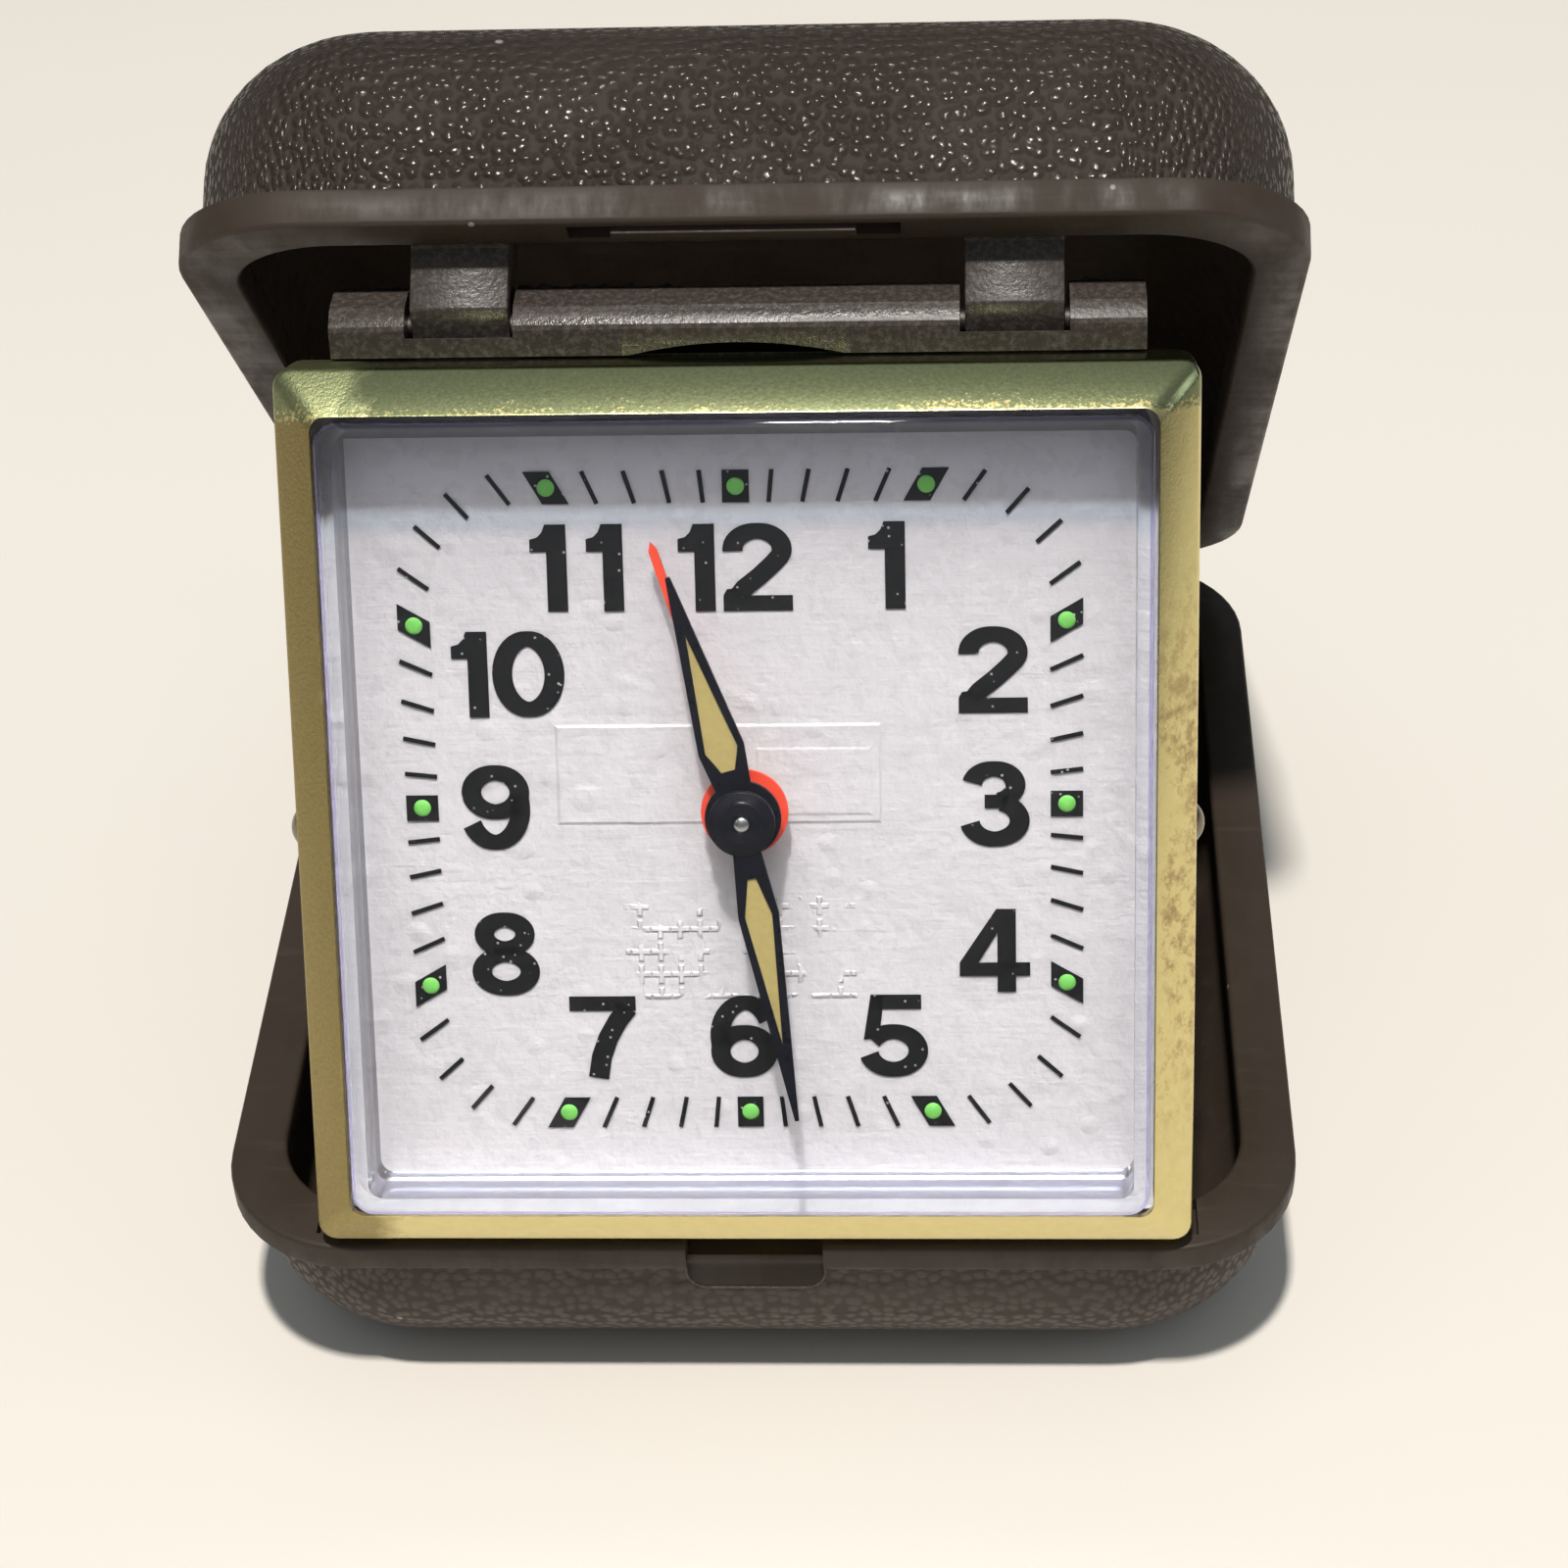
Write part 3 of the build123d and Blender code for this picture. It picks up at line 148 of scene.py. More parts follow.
def start_material(name, colour, roughness, metallic=0.0, shine=0.5):
    made[name] = bpy.data.materials.new(name)
    made[name].use_nodes = True
    tree = made[name].node_tree
    tree.nodes.clear()
    shader = add(tree, "BsdfPrincipled", in_Base_Color=colour, in_Roughness=roughness, in_Metallic=metallic,
                 in_Specular_IOR_Level=shine)
    add(tree, "OutputMaterial", in_Surface=shader)
    print("material", name)
    return shader, add(tree, "TexCoord").outputs["Object"]


def noise(place, scale, detail=3.0, roughness=0.5, stretch=None):
    if stretch is not None:
        place = add(place, "Mapping", in_Vector=place, in_Scale=stretch).outputs[0]
    return add(place, "TexNoise", in_Vector=place, in_Scale=scale, in_Detail=detail,
               in_Roughness=roughness).outputs[0]


def cells(place, scale, **values):
    return add(place, "TexVoronoi", **values, in_Vector=place, in_Scale=scale).outputs[0]


def ramp(source, *stops, interpolation="LINEAR"):
    node = add(source, "ValToRGB", in_Fac=source)
    band = node.color_ramp
    band.interpolation = interpolation
    while len(band.elements) < len(stops):
        band.elements.new(0.5)
    for element, (position, value) in zip(band.elements, stops):
        element.position = position
        element.color = (*value, 1) if isinstance(value, tuple) else (value, value, value, 1)
    return node.outputs[0]


def span(source, low, high, start=0.0, end=1.0, kind="LINEAR"):
    return add(source, "MapRange", interpolation_type=kind, in_0=source, in_1=low, in_2=high, in_3=start,
               in_4=end).outputs[0]


def blend(factor, first, second):
    return add(factor, "Mix", data_type="RGBA", in_0=factor, in_6=first, in_7=second).outputs[2]


def maths(operation, first, second=0.0, clamp=False):
    return add(first, "Math", operation=operation, use_clamp=clamp, in_0=first, in_1=second).outputs[0]


def plus(first, second):
    return maths("ADD", first, second)


def times(first, second):
    return maths("MULTIPLY", first, second)


def coat(shader, colour, roughness):
    give(shader.inputs["Base Color"], colour)
    give(shader.inputs["Roughness"], roughness)


def bump(shader, height, depth_mm, strength=1.0):
    node = add(shader, "Bump", in_Strength=strength, in_Distance=depth_mm * mm, in_Height=height)
    normal = shader.inputs["Normal"]
    if normal.is_linked:
        give(node.inputs["Normal"], normal.links[0].from_socket)
    give(normal, node)


def by_ray(output, ray, usual, instead):
    rays = add(output, "LightPath")
    give(output.inputs[0], add(output, "MixShader", in_0=rays.outputs[ray], in_1=usual, in_2=instead))


cloudy = ((0.3, 0.0), (0.75, 1.0))


def dusty(place, under, scale, core, rim, share, colour):
    return blend(ramp(cells(place, scale), (core, share), (rim, 0.0)), under, colour)

# %% [markdown]
# The case is dark brown plastic. Its rim bands and inside are plain and half glossy,
# with fine rub marks along the edges where the two halves meet. A Noise stretched
# along X gives those rubs, a fine one gives the moulded skin, and a few pale specks
# of dust come from a Voronoi cut off close to its cell centres.

# %% Smooth case plastic
case_brown = (0.038, 0.027, 0.019)
shader, place = start_material("case_smooth", case_brown, 0.36, shine=0.3)
rub = noise(place, 900, 3, 0.6, (0.12, 1, 1))
tint = blend(ramp(noise(place, 60, 4), *cloudy), case_brown, (0.048, 0.035, 0.026))
worn = blend(times(ramp(rub, (0.60, 0.0), (0.78, 1.0)), 0.35), tint, (0.085, 0.068, 0.055))
patchy = ramp(noise(place, 230, 5, 0.7, (1, 0.35, 0.35)), (0.38, 0.0), (0.62, 0.28))
coat(shader, dusty(place, worn, 170, 0.025, 0.04, 0.6, (0.45, 0.42, 0.38)),
     plus(ramp(rub, (0.3, 0.32), (0.75, 0.46)), patchy))
bump(shader, noise(place, 3200, 2), 0.004, 0.5)
bump(shader, rub, 0.006, 0.4)

# %% [markdown]
# The walls carry an embossed leather grain: soft round pebbles a little under a
# millimetre apart, with no sharp crease between them. Real displacement would need
# millions of faces, so the pebbles are a bump. They are a flat Voronoi on a UV map
# that unrolls the tray, so each pebble has its middle on the surface. Its distance is
# lowest at the cell centres, and turned over it gives the pebble tops. A Noise bends
# the cells first, so that they don't look like a honeycomb. The tops are rubbed
# shinier, and a broad Noise makes some parts flatter, as where the mould was worn.
# On the base the grain is lower and its colour paler than on the lid.

# %% Leather-grained case plastic
pebbles_per_mm = 1.2
pebble_bend = (0.6, 0.6, 0.0)


def leather(name, dark, light, depth, top_gloss):
    shader, place = start_material(name, dark, 0.42, shine=0.35)
    unrolled = add(place, "UVMap", uv_map="grain")
    bend = noise(place, 900, 2).node.outputs["Color"]
    bent = add(place, "VectorMath", operation="MULTIPLY_ADD", in_0=bend, in_1=pebble_bend, in_2=unrolled)
    pebble = cells(bent.outputs[0], pebbles_per_mm, voronoi_dimensions="2D", in_Randomness=0.8)
    dome = ramp(pebble, (0.0, 1.0), (0.22, 0.90), (0.42, 0.52), (0.58, 0.12), (0.72, 0.0),
                interpolation="B_SPLINE")
    worn_flat = ramp(noise(place, 110, 3), (0.35, 0.6), (0.6, 1.0))
    height = plus(times(dome, worn_flat), times(noise(place, 4600, 3), 0.05))
    height = plus(height, times(noise(place, 260, 2), 0.5))
    tint = blend(ramp(noise(place, 70, 3), *cloudy), dark, light)
    coat(shader, dusty(place, tint, 120, 0.022, 0.036, 0.7, (0.5, 0.47, 0.42)),
         ramp(dome, (0.30, 0.72), (0.85, top_gloss)))
    bump(shader, height, depth, 0.95)


leather("case_grain", (0.030, 0.021, 0.015), (0.042, 0.031, 0.023), 0.26, 0.24)
leather("base_grain", (0.046, 0.034, 0.027), (0.062, 0.048, 0.039), 0.07, 0.42)

# %% [markdown]
# The hinge bar, its frame and the two arms are the same brown, moulded with a coarse
# matte skin whose bump glitters a little where light grazes it. Pale specks painted
# into its colour by a fine Noise add painted glints all over. A finer, stronger bump and
# a rougher surface tell it apart from the case. The bar is rubbed smoother than the
# arms, so its glitter stays in one short stretch.

# %% Frame plastic
def moulded(name, shine, gloss_low, gloss_high, grit_depth):
    shader, place = start_material(name, (0.048, 0.039, 0.033), 0.45, shine=shine)
    grit = noise(place, 2600, 3, 0.7)
    streak = noise(place, 1500, 3, 0.6, (0.05, 1, 1))
    tint = blend(noise(place, 120, 3), (0.036, 0.029, 0.024), (0.058, 0.048, 0.042))
    # Painted highlight: pale specks in the colour stand in for glints.
    painted_glints = blend(times(ramp(grit, (0.45, 0.0), (0.72, 1.0)), 0.5), tint, (0.17, 0.15, 0.135))
    coat(shader, painted_glints, ramp(streak, (0.3, gloss_low), (0.7, gloss_high)))
    bump(shader, grit, grit_depth, 0.8)
    bump(shader, streak, 0.015, 0.4)


moulded("frame_plastic", 0.35, 0.27, 0.42, 0.05)
moulded("bar_plastic", 0.12, 0.15, 0.34, 0.025)

# %% [markdown]
# The bezel is thin brass sheet under lacquer. The left slope is satin, the rest is
# polished bright, and the right slope is rubbed through to a reddish brown. The top
# slope is painted dull green as a painted reflection, and bright specks on it, thicker
# near the window, are a painted sparkle highlight. One mask across the width, one up
# the height and one up the leaning head, all broken up by Noise, choose between these
# states.

# %% Bezel brass
shader, place = start_material("bezel_brass", (0.68, 0.52, 0.20), 0.25, 1.0)
parts = add(place, "SeparateXYZ", in_0=place).outputs
ragged = times(plus(noise(place, 180, 5, 0.65), -0.5), 0.010)
grain = noise(place, 4200, 3, 0.7)
brushed = noise(place, 1300, 4, 0.6)
side = plus(parts[0], ragged)
polished = span(side, -0.0245, -0.0215)
satin = blend(grain, (0.25, 0.195, 0.075), (0.50, 0.40, 0.17))
bright = blend(brushed, (0.66, 0.55, 0.24), (0.80, 0.70, 0.34))
rubbed_height = times(span(parts[2], 0.020, 0.030), span(parts[2], 0.056, 0.046))
patches = ramp(noise(place, 900, 5, 0.75), (0.46, 0.0), (0.62, 1.0))
wear = times(times(rubbed_height, span(side, 0.0252, 0.0262)), patches)
head_up = at_middle.to_3x3() @ Vector((0, 0, 1 / mm))
above = add(place, "VectorMath", operation="DOT_PRODUCT", in_0=place, in_1=head_up).outputs["Value"]
level = plus(plus(above, -at_middle.translation.dot(head_up)), times(ragged, 0.3))
rare = span(level, 0.0253, 0.0262, 0.48, 0.72)
# Painted highlight: bright specks on the top slope, thicker near the window, stand in for sparkle.
painted_sparkle = maths("MULTIPLY", maths("SUBTRACT", grain, rare), 12.0, True)
# Painted reflection: the top slope is coloured dull green for what it reflects.
painted_top_reflection = blend(painted_sparkle, blend(grain, (0.23, 0.26, 0.125), (0.37, 0.39, 0.21)), bright)
brass = blend(span(level, 0.0249, 0.0250), blend(polished, satin, bright), painted_top_reflection)
gloss = plus(times(grain, 0.10), plus(times(polished, -0.24), 0.42))
coat(shader, blend(times(wear, 0.6), brass, (0.34, 0.17, 0.09)), plus(gloss, times(wear, 0.2)))
bump(shader, times(grain, plus(times(polished, -0.85), 1.0)), 0.06, 0.8)
bump(shader, brushed, 0.004, 0.5)

# %% [markdown]
# The crystal is one clear moulding. The face is water clear, the side walls are
# faintly violet and the rounded edges more so, because there the eye looks along the
# plastic and not through it. Three materials say that. Lamps reach the dial through a
# Transparent shader for shadow rays, as a solid glass would throw a black shadow on
# the card.

# %% Crystal
def clear_plastic(name, tint, roughness, shade):
    shader, place = start_material(name, tint, roughness)
    give(shader.inputs["Transmission Weight"], 1.0)
    give(shader.inputs["IOR"], 1.49)
    bump(shader, noise(place, 500, 4, 0.6, (1, 1, 0.15)), 0.002, 0.25)
    output = shader.outputs[0].links[0].to_node
    by_ray(output, "Is Shadow Ray", shader, add(place, "BsdfTransparent", in_Color=shade))


clear_plastic("crystal_face", (0.97, 0.97, 0.985), 0.015, (0.97, 0.97, 0.98))
clear_plastic("crystal_wall", (0.71, 0.69, 0.86), 0.18, (0.74, 0.82, 0.88))
clear_plastic("crystal_edge", (0.46, 0.41, 0.82), 0.03, (0.60, 0.66, 0.74))

# %% [markdown]
# The dial is thin coated card, a cool white that has lifted into soft wrinkles. A
# broad Noise gives the waves and a Voronoi gives small blisters. What is pressed into
# the card is measured in millimetres on its own UV map: the distance from a box gives
# the edge of a panel and of a smaller one on it, and two crossed boxes in each cell of
# a grid give small stamps, of which a Noise keeps some.

# %% Dial card
shader, place = start_material("dial_card", (0.80, 0.80, 0.83), 0.40)
wave = noise(place, 130, 5, 0.62)
crumple = noise(place, 620, 4, 0.6)
coat(shader, blend(wave, (0.50, 0.495, 0.52), (0.58, 0.57, 0.595)), ramp(crumple, (0.3, 0.20), (0.7, 0.40)))
bump(shader, wave, 0.45, 0.6)
bump(shader, crumple, 0.20, 0.7)
bump(shader, noise(place, 2400, 3, 0.6, (0.07, 1, 1)), 0.05, 0.7)
bump(shader, ramp(cells(place, 330, feature="SMOOTH_F1"), (0.05, 1.0), (0.22, 0.0)), 0.10, 0.8)


def past_box(x, y, middle, half):
    ways = [plus(maths("ABSOLUTE", plus(value, -centre)), -reach)
            for value, centre, reach in zip((x, y), middle, half)]
    return maths("MAXIMUM", *ways)


flat = add(place, "UVMap", uv_map="dial")
flat_x, flat_y = add(place, "SeparateXYZ", in_0=flat).outputs[:2]
panels = (((-1.7, 1.9), (10.0, 3.1), 0.09), ((4.2, 1.4), (3.5, 2.1), 0.05))
for middle, half, rise in panels:
    bump(shader, span(past_box(flat_x, flat_y, middle, half), 0.12, -0.12, kind="SMOOTHSTEP"), rise)
column_step, row_step = 1.25, 1.47
cell_x, cell_y = [plus(maths("FRACT", times(value, 1 / step)), -0.5)
                  for value, step in ((flat_x, column_step), (flat_y, row_step))]
crossed = maths("MINIMUM", past_box(cell_x, cell_y, (0, 0), (0.07, 0.36)),
                past_box(cell_x, cell_y, (0, 0), (0.42, 0.06)))
in_field = span(past_box(flat_x, flat_y, (-0.6, -9.2), (7.2, 3.4)), 0.1, -0.1)
some = ramp(noise(place, 430, 1), (0.47, 0.0), (0.53, 1.0))
bump(shader, times(times(span(crossed, 0.09, 0.0, kind="SMOOTHSTEP"), in_field), some), 0.10)
bump(shader, noise(place, 2500, 3), 0.008, 0.4)

# %% [markdown]
# Paint for the figures is plain black with a slight gloss and a few chips, and the
# luminous paint is a grainy pale green. A flat dead black is painted shade for the
# hollow of the bar's scallop. One function makes them all.

# %% Paints
def paint(name, colour, second, roughness, grain_scale, depth, shine=0.5, fleck=0.0):
    shader, place = start_material(name, colour, roughness, shine=shine)
    spots = noise(place, grain_scale, 4, 0.6)
    tone = blend(spots, colour, second)
    if fleck > 0:
        tone = dusty(place, tone, 1500, fleck, fleck * 1.6, 0.8, (0.40, 0.40, 0.42))
    coat(shader, tone, ramp(spots, (0.3, roughness - 0.08), (0.7, roughness + 0.1)))
    bump(shader, spots, depth, 0.5)


for values in (
        ("print_black", (0.006, 0.006, 0.007), (0.012, 0.012, 0.012), 0.42, 1800, 0.006, 0.2, 0.09),
        ("hand_black", (0.005, 0.005, 0.008), (0.008, 0.008, 0.012), 0.32, 1500, 0.003, 0.15),
        ("alarm_red", (0.62, 0.045, 0.02), (0.78, 0.08, 0.04), 0.35, 1200, 0.006),
        # Painted shade: a flat black for the scallop's hollow, which is dark only from shade.
        ("hollow_black", (0.002, 0.002, 0.002), (0.004, 0.003, 0.003), 0.85, 900, 0.004, 0.0),
        ("glow_green", (0.10, 0.42, 0.06), (0.20, 0.58, 0.12), 0.55, 3000, 0.02),
        ("glow_hand", (0.27, 0.215, 0.07), (0.40, 0.33, 0.125), 0.6, 2600, 0.03),
        ("ring_plastic", (0.16, 0.15, 0.14), (0.22, 0.21, 0.19), 0.5, 900, 0.01)):
    paint(*values)

# %% [markdown]
# The metal of the back and of the movement comes in a few finishes. One function
# makes them all: a turned or drawn metal has fine streaks in its roughness, patches
# of tarnish in its colour and a shallow bump of tool marks.

# %% Metals of the movement and the back
def metal(name, colour, tarnish, roughness, streak_scale=1600, stretch=(1, 1, 1), depth=0.004):
    shader, place = start_material(name, colour, roughness, 1.0)
    streak = noise(place, streak_scale, 4, 0.6, stretch)
    stain = ramp(noise(place, 220, 5, 0.65), (0.42, 0.0), (0.72, 0.8))
    coat(shader, blend(stain, colour, tarnish), ramp(streak, (0.25, roughness - 0.07), (0.75, roughness + 0.12)))
    bump(shader, streak, depth, 0.5)


for values in (
        ("movement_brass", (0.75, 0.56, 0.24), (0.50, 0.33, 0.13), 0.26),
        ("steel", (0.60, 0.60, 0.61), (0.40, 0.38, 0.36), 0.24),
        ("can_steel", (0.66, 0.62, 0.52), (0.45, 0.40, 0.32), 0.32, 900, (0.15, 1, 0.15), 0.006),
        ("key_brass", (0.70, 0.54, 0.26), (0.42, 0.29, 0.14), 0.3),
        ("dial_metal", (0.72, 0.72, 0.73), (0.55, 0.54, 0.52), 0.35),
        ("stud_metal", (0.24, 0.21, 0.16), (0.14, 0.11, 0.08), 0.26),
        ("pin_steel", (0.10, 0.09, 0.08), (0.05, 0.045, 0.04), 0.5)):
    metal(*values)
print(len(made), "materials")

# %% [markdown]
# Every mesh piece ends the same way: its bmesh is carried to its place, written to a
# mesh with its materials, shaded smooth up to an angle, given a small bevel, named, and
# told which body it rides on, and the CAD node that it stands for is hidden.

# %% Finishing a piece
def as_object(name, bm, materials=""):
    mesh = bpy.data.meshes.new(name)
    bm.to_mesh(mesh)
    bm.free()
    for material in materials.split():
        mesh.materials.append(made[material])
    return in_scene(name, mesh)


def finish_piece(name, bm, matrix, materials, body, node=None, bevel=0.0, smooth=35.0):
    bmesh.ops.transform(bm, matrix=matrix, verts=bm.verts)
    piece = as_object(name, bm, materials)
    mesh = piece.data
    mesh.shade_smooth()
    mesh.set_sharp_from_angle(angle=math.radians(smooth))
    if bevel > 0:
        rounder = piece.modifiers.new("edges", "BEVEL")
        rounder.width = bevel * mm
        rounder.segments = 2
        rounder.limit_method = "ANGLE"
        rounder.angle_limit = math.radians(smooth)
        rounder.harden_normals = True
    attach(piece, body)
    if node:
        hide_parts(node)
    print(name, len(mesh.polygons), "faces")


def outward(bm):
    bmesh.ops.recalc_face_normals(bm, faces=bm.faces)


def shift(bm, vector):
    bmesh.ops.translate(bm, vec=vector, verts=bm.verts)


def soften(bm, edges, offset, segments=3):
    bmesh.ops.bevel(bm, geom=list(edges), offset=offset, segments=segments, profile=0.5, affect="EDGES",
                    material=-1)


def slice_at(bm, point, normal, clear_outer=False):
    bmesh.ops.bisect_plane(bm, geom=bm.verts[:] + bm.edges[:] + bm.faces[:], plane_co=point,
                           plane_no=normal, clear_outer=clear_outer)


def strip(bm, pairs, closed=False):
    for first, second in zip(pairs, pairs[1:] + (pairs[:1] if closed else [])):
        bm.faces.new((first[0], second[0], second[1], first[1]))


def open_edges(bm):
    return [edge for edge in bm.edges if edge.is_boundary]


def at_level(edge, level):
    return all(abs(vert.co.z - level) < 0.001 for vert in edge.verts)

# %% [markdown]
# A rounded rectangle is the start of most pieces. It is one square face whose four
# corners are bevelled as vertices, which rounds them in the plane. Facing says which
# way the face looks.

# %% Rounded plate
def plate(width, depth, corner, segments=8, level=0.0, facing=1, bm=None):
    bm = bm or bmesh.new()
    verts = bmesh.ops.create_grid(bm, x_segments=1, y_segments=1, size=0.5)["verts"]
    bmesh.ops.scale(bm, vec=(width, depth, 1), verts=verts)
    bmesh.ops.translate(bm, vec=(0, 0, level), verts=verts)
    cut = bmesh.ops.bevel(bm, geom=verts, offset=corner, segments=segments, profile=0.5, affect="VERTICES",
                          material=-1)
    face = cut["verts"][0].link_faces[0]
    bm.normal_update()
    if face.normal.z * facing < 0:
        face.normal_flip()
    return bm, face


def pull(bm, faces, vector, **values):
    pulled = bmesh.ops.extrude_face_region(bm, geom=faces, **values)["geom"]
    verts = [item for item in pulled if isinstance(item, bmesh.types.BMVert)]
    bmesh.ops.translate(bm, vec=vector, verts=verts)
    return [item for item in pulled if isinstance(item, bmesh.types.BMFace)][0]


def extend(bm, face, vector, open_start=False):
    end = pull(bm, [face], vector)
    if open_start:
        bmesh.ops.delete(bm, geom=[face], context="FACES_ONLY")
    return end

# %% [markdown]
# A hollow with another outline than the shell is closed by bridging. A ring is a
# rounded plate without its face, and loft bridges one ring to the next. Two rings at
# the same level don't tell a bridge which way round they run, so loft lifts the second
# one for that moment. Carve uses the Boolean modifier for holes that cross several
# faces.

# %% Rings, lofts and cuts
loft_lift = 40.0
weld = 0.0005


def ring(bm, width, depth, corner, level, segments=8):
    edges_before = set(bm.edges)
    face = plate(width, depth, corner, segments, level, 1, bm)[1]
    bmesh.ops.delete(bm, geom=[face], context="FACES_ONLY")
    return [edge for edge in bm.edges if edge not in edges_before]


def loft(bm, rings, closed=False):
    for first, second in zip(rings, rings[1:] + (rings[:1] if closed else [])):
        lifted = list({vert for edge in second for vert in edge.verts})
        bmesh.ops.translate(bm, vec=(0, 0, loft_lift), verts=lifted)
        bmesh.ops.bridge_loops(bm, edges=first + second)
        bmesh.ops.translate(bm, vec=(0, 0, -loft_lift), verts=lifted)


def block(low, high):
    bm = bmesh.new()
    bmesh.ops.create_cube(bm, size=1.0)
    bmesh.ops.scale(bm, vec=[end - start for start, end in zip(low, high)], verts=bm.verts)
    shift(bm, [(end + start) / 2 for start, end in zip(low, high)])
    return bm


def cross_rod(radius, start, end):
    bm = bmesh.new()
    turn = Matrix.Translation(((start + end) / 2, 0, 0)) @ Matrix.Rotation(math.radians(90), 4, "Y")
    bmesh.ops.create_cone(bm, cap_ends=True, segments=32, radius1=radius, radius2=radius, depth=end - start,
                          matrix=turn)
    return bm


def carve(bm, tool, operation="DIFFERENCE"):
    holders = [as_object("carve", bm, "case_smooth case_grain"), as_object("carve", tool)]
    cutter = holders[0].modifiers.new("cut", "BOOLEAN")
    cutter.operation = operation
    cutter.object = holders[1]
    cutter.solver = "EXACT"
    bpy.context.view_layer.update()
    result = holders[0].evaluated_get(bpy.context.evaluated_depsgraph_get())
    carved = bmesh.new()
    carved.from_mesh(bpy.data.meshes.new_from_object(result))
    for holder in holders:
        bpy.data.objects.remove(holder)
    bmesh.ops.remove_doubles(carved, verts=carved.verts, dist=weld)
    return carved

# %% [markdown]
# Each half of the case is a tray. The grained body has wider corners than the rim band,
# so at each corner the band stands out like a small shelf. A body goes straight down
# from under the band and then round to the flat by twelve insets that each go a little
# deeper. The hollow is the same idea, one wall smaller, and a loft over the rim joins
# the two. The rim's edges get a real bevel, as they catch the light. For the grain, the
# outside is unrolled from the middle of its flat: a point's way from there along the
# surface, in the direction that it has in plan, is its place on the map.

# %% Trays of the case
case_width = 70.0
base_height = 14.0
lid_height = 16.0
case_corner = 8.8
body_corner = 11.8
mouth_corner = 7.0
rim_width = 3.5
base_band = 2.0
lid_band = 2.4
band_proud = 0.6
shell_wall = 1.6
floor_thickness = 1.4
shell_rounding = 9.2
round_steps = 12
corner_steps = 12
rim_gap = 0.3
edge_soft = 0.32
under_soft = 0.22


def round_over(bm, face, radius):
    for index in range(round_steps):
        start = math.radians(90 * index / round_steps)
        end = math.radians(90 * (index + 1) / round_steps)
        bmesh.ops.inset_region(bm, faces=[face], thickness=radius * (math.cos(start) - math.cos(end)),
                               depth=radius * (math.sin(end) - math.sin(start)), use_even_offset=True)


def bowl(bm, inset, corner, top, bottom, radius):
    face = plate(case_width - 2 * inset, case_depth - 2 * inset, corner, corner_steps, top, -1, bm)[1]
    mouth = list(face.edges)
    round_over(bm, extend(bm, face, (0, 0, bottom + radius - top), True), radius)
    return mouth


def unroll(bm, matrix):
    layer = bm.loops.layers.uv.new("grain")
    reach = [size / 2 - band_proud - body_corner for size in (case_width, case_depth)]
    flat = body_corner - shell_rounding
    for face in bm.faces:
        for loop in face.loops:
            point = matrix @ loop.vert.co
            near = Vector([min(max(value, -limit), limit) for value, limit in zip(point.xy, reach)])
            away = point.xy - near
            path = away.length
            if path > flat:
                path = flat + shell_rounding * math.asin(min((path - flat) / shell_rounding, 1.0))
                path += max(point.z - shell_rounding, 0.0)
            loop[layer].uv = near + away.normalized() * path


def tray(height, band_height):
    under_band = height - band_height
    bm = bmesh.new()
    outer = bowl(bm, band_proud, body_corner, under_band, 0.0, shell_rounding)
    grained = set(bm.faces)
    inner = bowl(bm, band_proud + shell_wall, body_corner - shell_wall, under_band, floor_thickness,
                 shell_rounding - shell_wall)
    rim = (case_width, case_depth, case_corner)
    mouth = (case_width - 2 * rim_width, case_depth - 2 * rim_width, mouth_corner)
    loft(bm, [outer, ring(bm, *rim, under_band, corner_steps), ring(bm, *rim, height, corner_steps),
              ring(bm, *mouth, height, corner_steps), ring(bm, *mouth, under_band, corner_steps), inner])
    for face in bm.faces:
        face.material_index = int(face in grained)
    outward(bm)
    soften(bm, [edge for edge in bm.edges if at_level(edge, height) and edge.calc_face_angle(0) > 1], edge_soft)
    soften(bm, [edge for edge in bm.edges if at_level(edge, under_band) and edge.is_convex
                and edge.calc_face_angle(0) > 1], under_soft, 2)
    print("tray", height, "open edges", len(open_edges(bm)))
    return bm

# %% [markdown]
# The two halves share one hinge line at the back. Each half keeps its own pair of
# knuckles and has room cut for the other pair.

# %% Knuckles
knuckle_radius = 2.2
knuckle_length = 7.0
knuckle_start = 9.7
knuckle_gap = 0.3


def knuckle_spans(first):
    start = knuckle_start if first else knuckle_start + knuckle_length + knuckle_gap
    return [(start, start + knuckle_length), (-start - knuckle_length, -start)]


def with_knuckles(bm, own_first):
    for start, end in knuckle_spans(not own_first):
        bm = carve(bm, cross_rod(knuckle_radius + knuckle_gap, start - knuckle_gap, end + knuckle_gap))
    for start, end in knuckle_spans(own_first):
        bm = carve(bm, cross_rod(knuckle_radius, start, end), "UNION")
    return bm

# %% [markdown]
# The front of the base has a thumb notch: a ledge cut down through the rim, and below
# it a pad in the wall that slopes back towards its middle, with a thin raised lip
# round it. Behind them are a low step inside the rim, where the head's lower edge
# rests, and a shallow pocket for the catch. A boss behind the notch keeps the wall
# whole, so it is joined on before the notch is cut.

# %% Base
over = 1.0
notch_half = 4.4
notch_depth = 4.15
notch_inner = 3.04
notch_slope = 0.45
notch_corner = 1.4
notch_back = 1.5
ledge_drop = 1.7
upper_reach = 2.7
lip_width = 0.16
lip_proud = 0.1
step_half = 28.3
step_depth = 1.1
step_lip = 1.3
pocket_half = 7.55
pocket_front = 0.7
pocket_back = 2.0
pocket_depth = 0.4
front = -case_depth / 2


def front_block(half, near, far, low):
    return block((-half, front + near, base_height + low), (half, front + far, base_height + over))


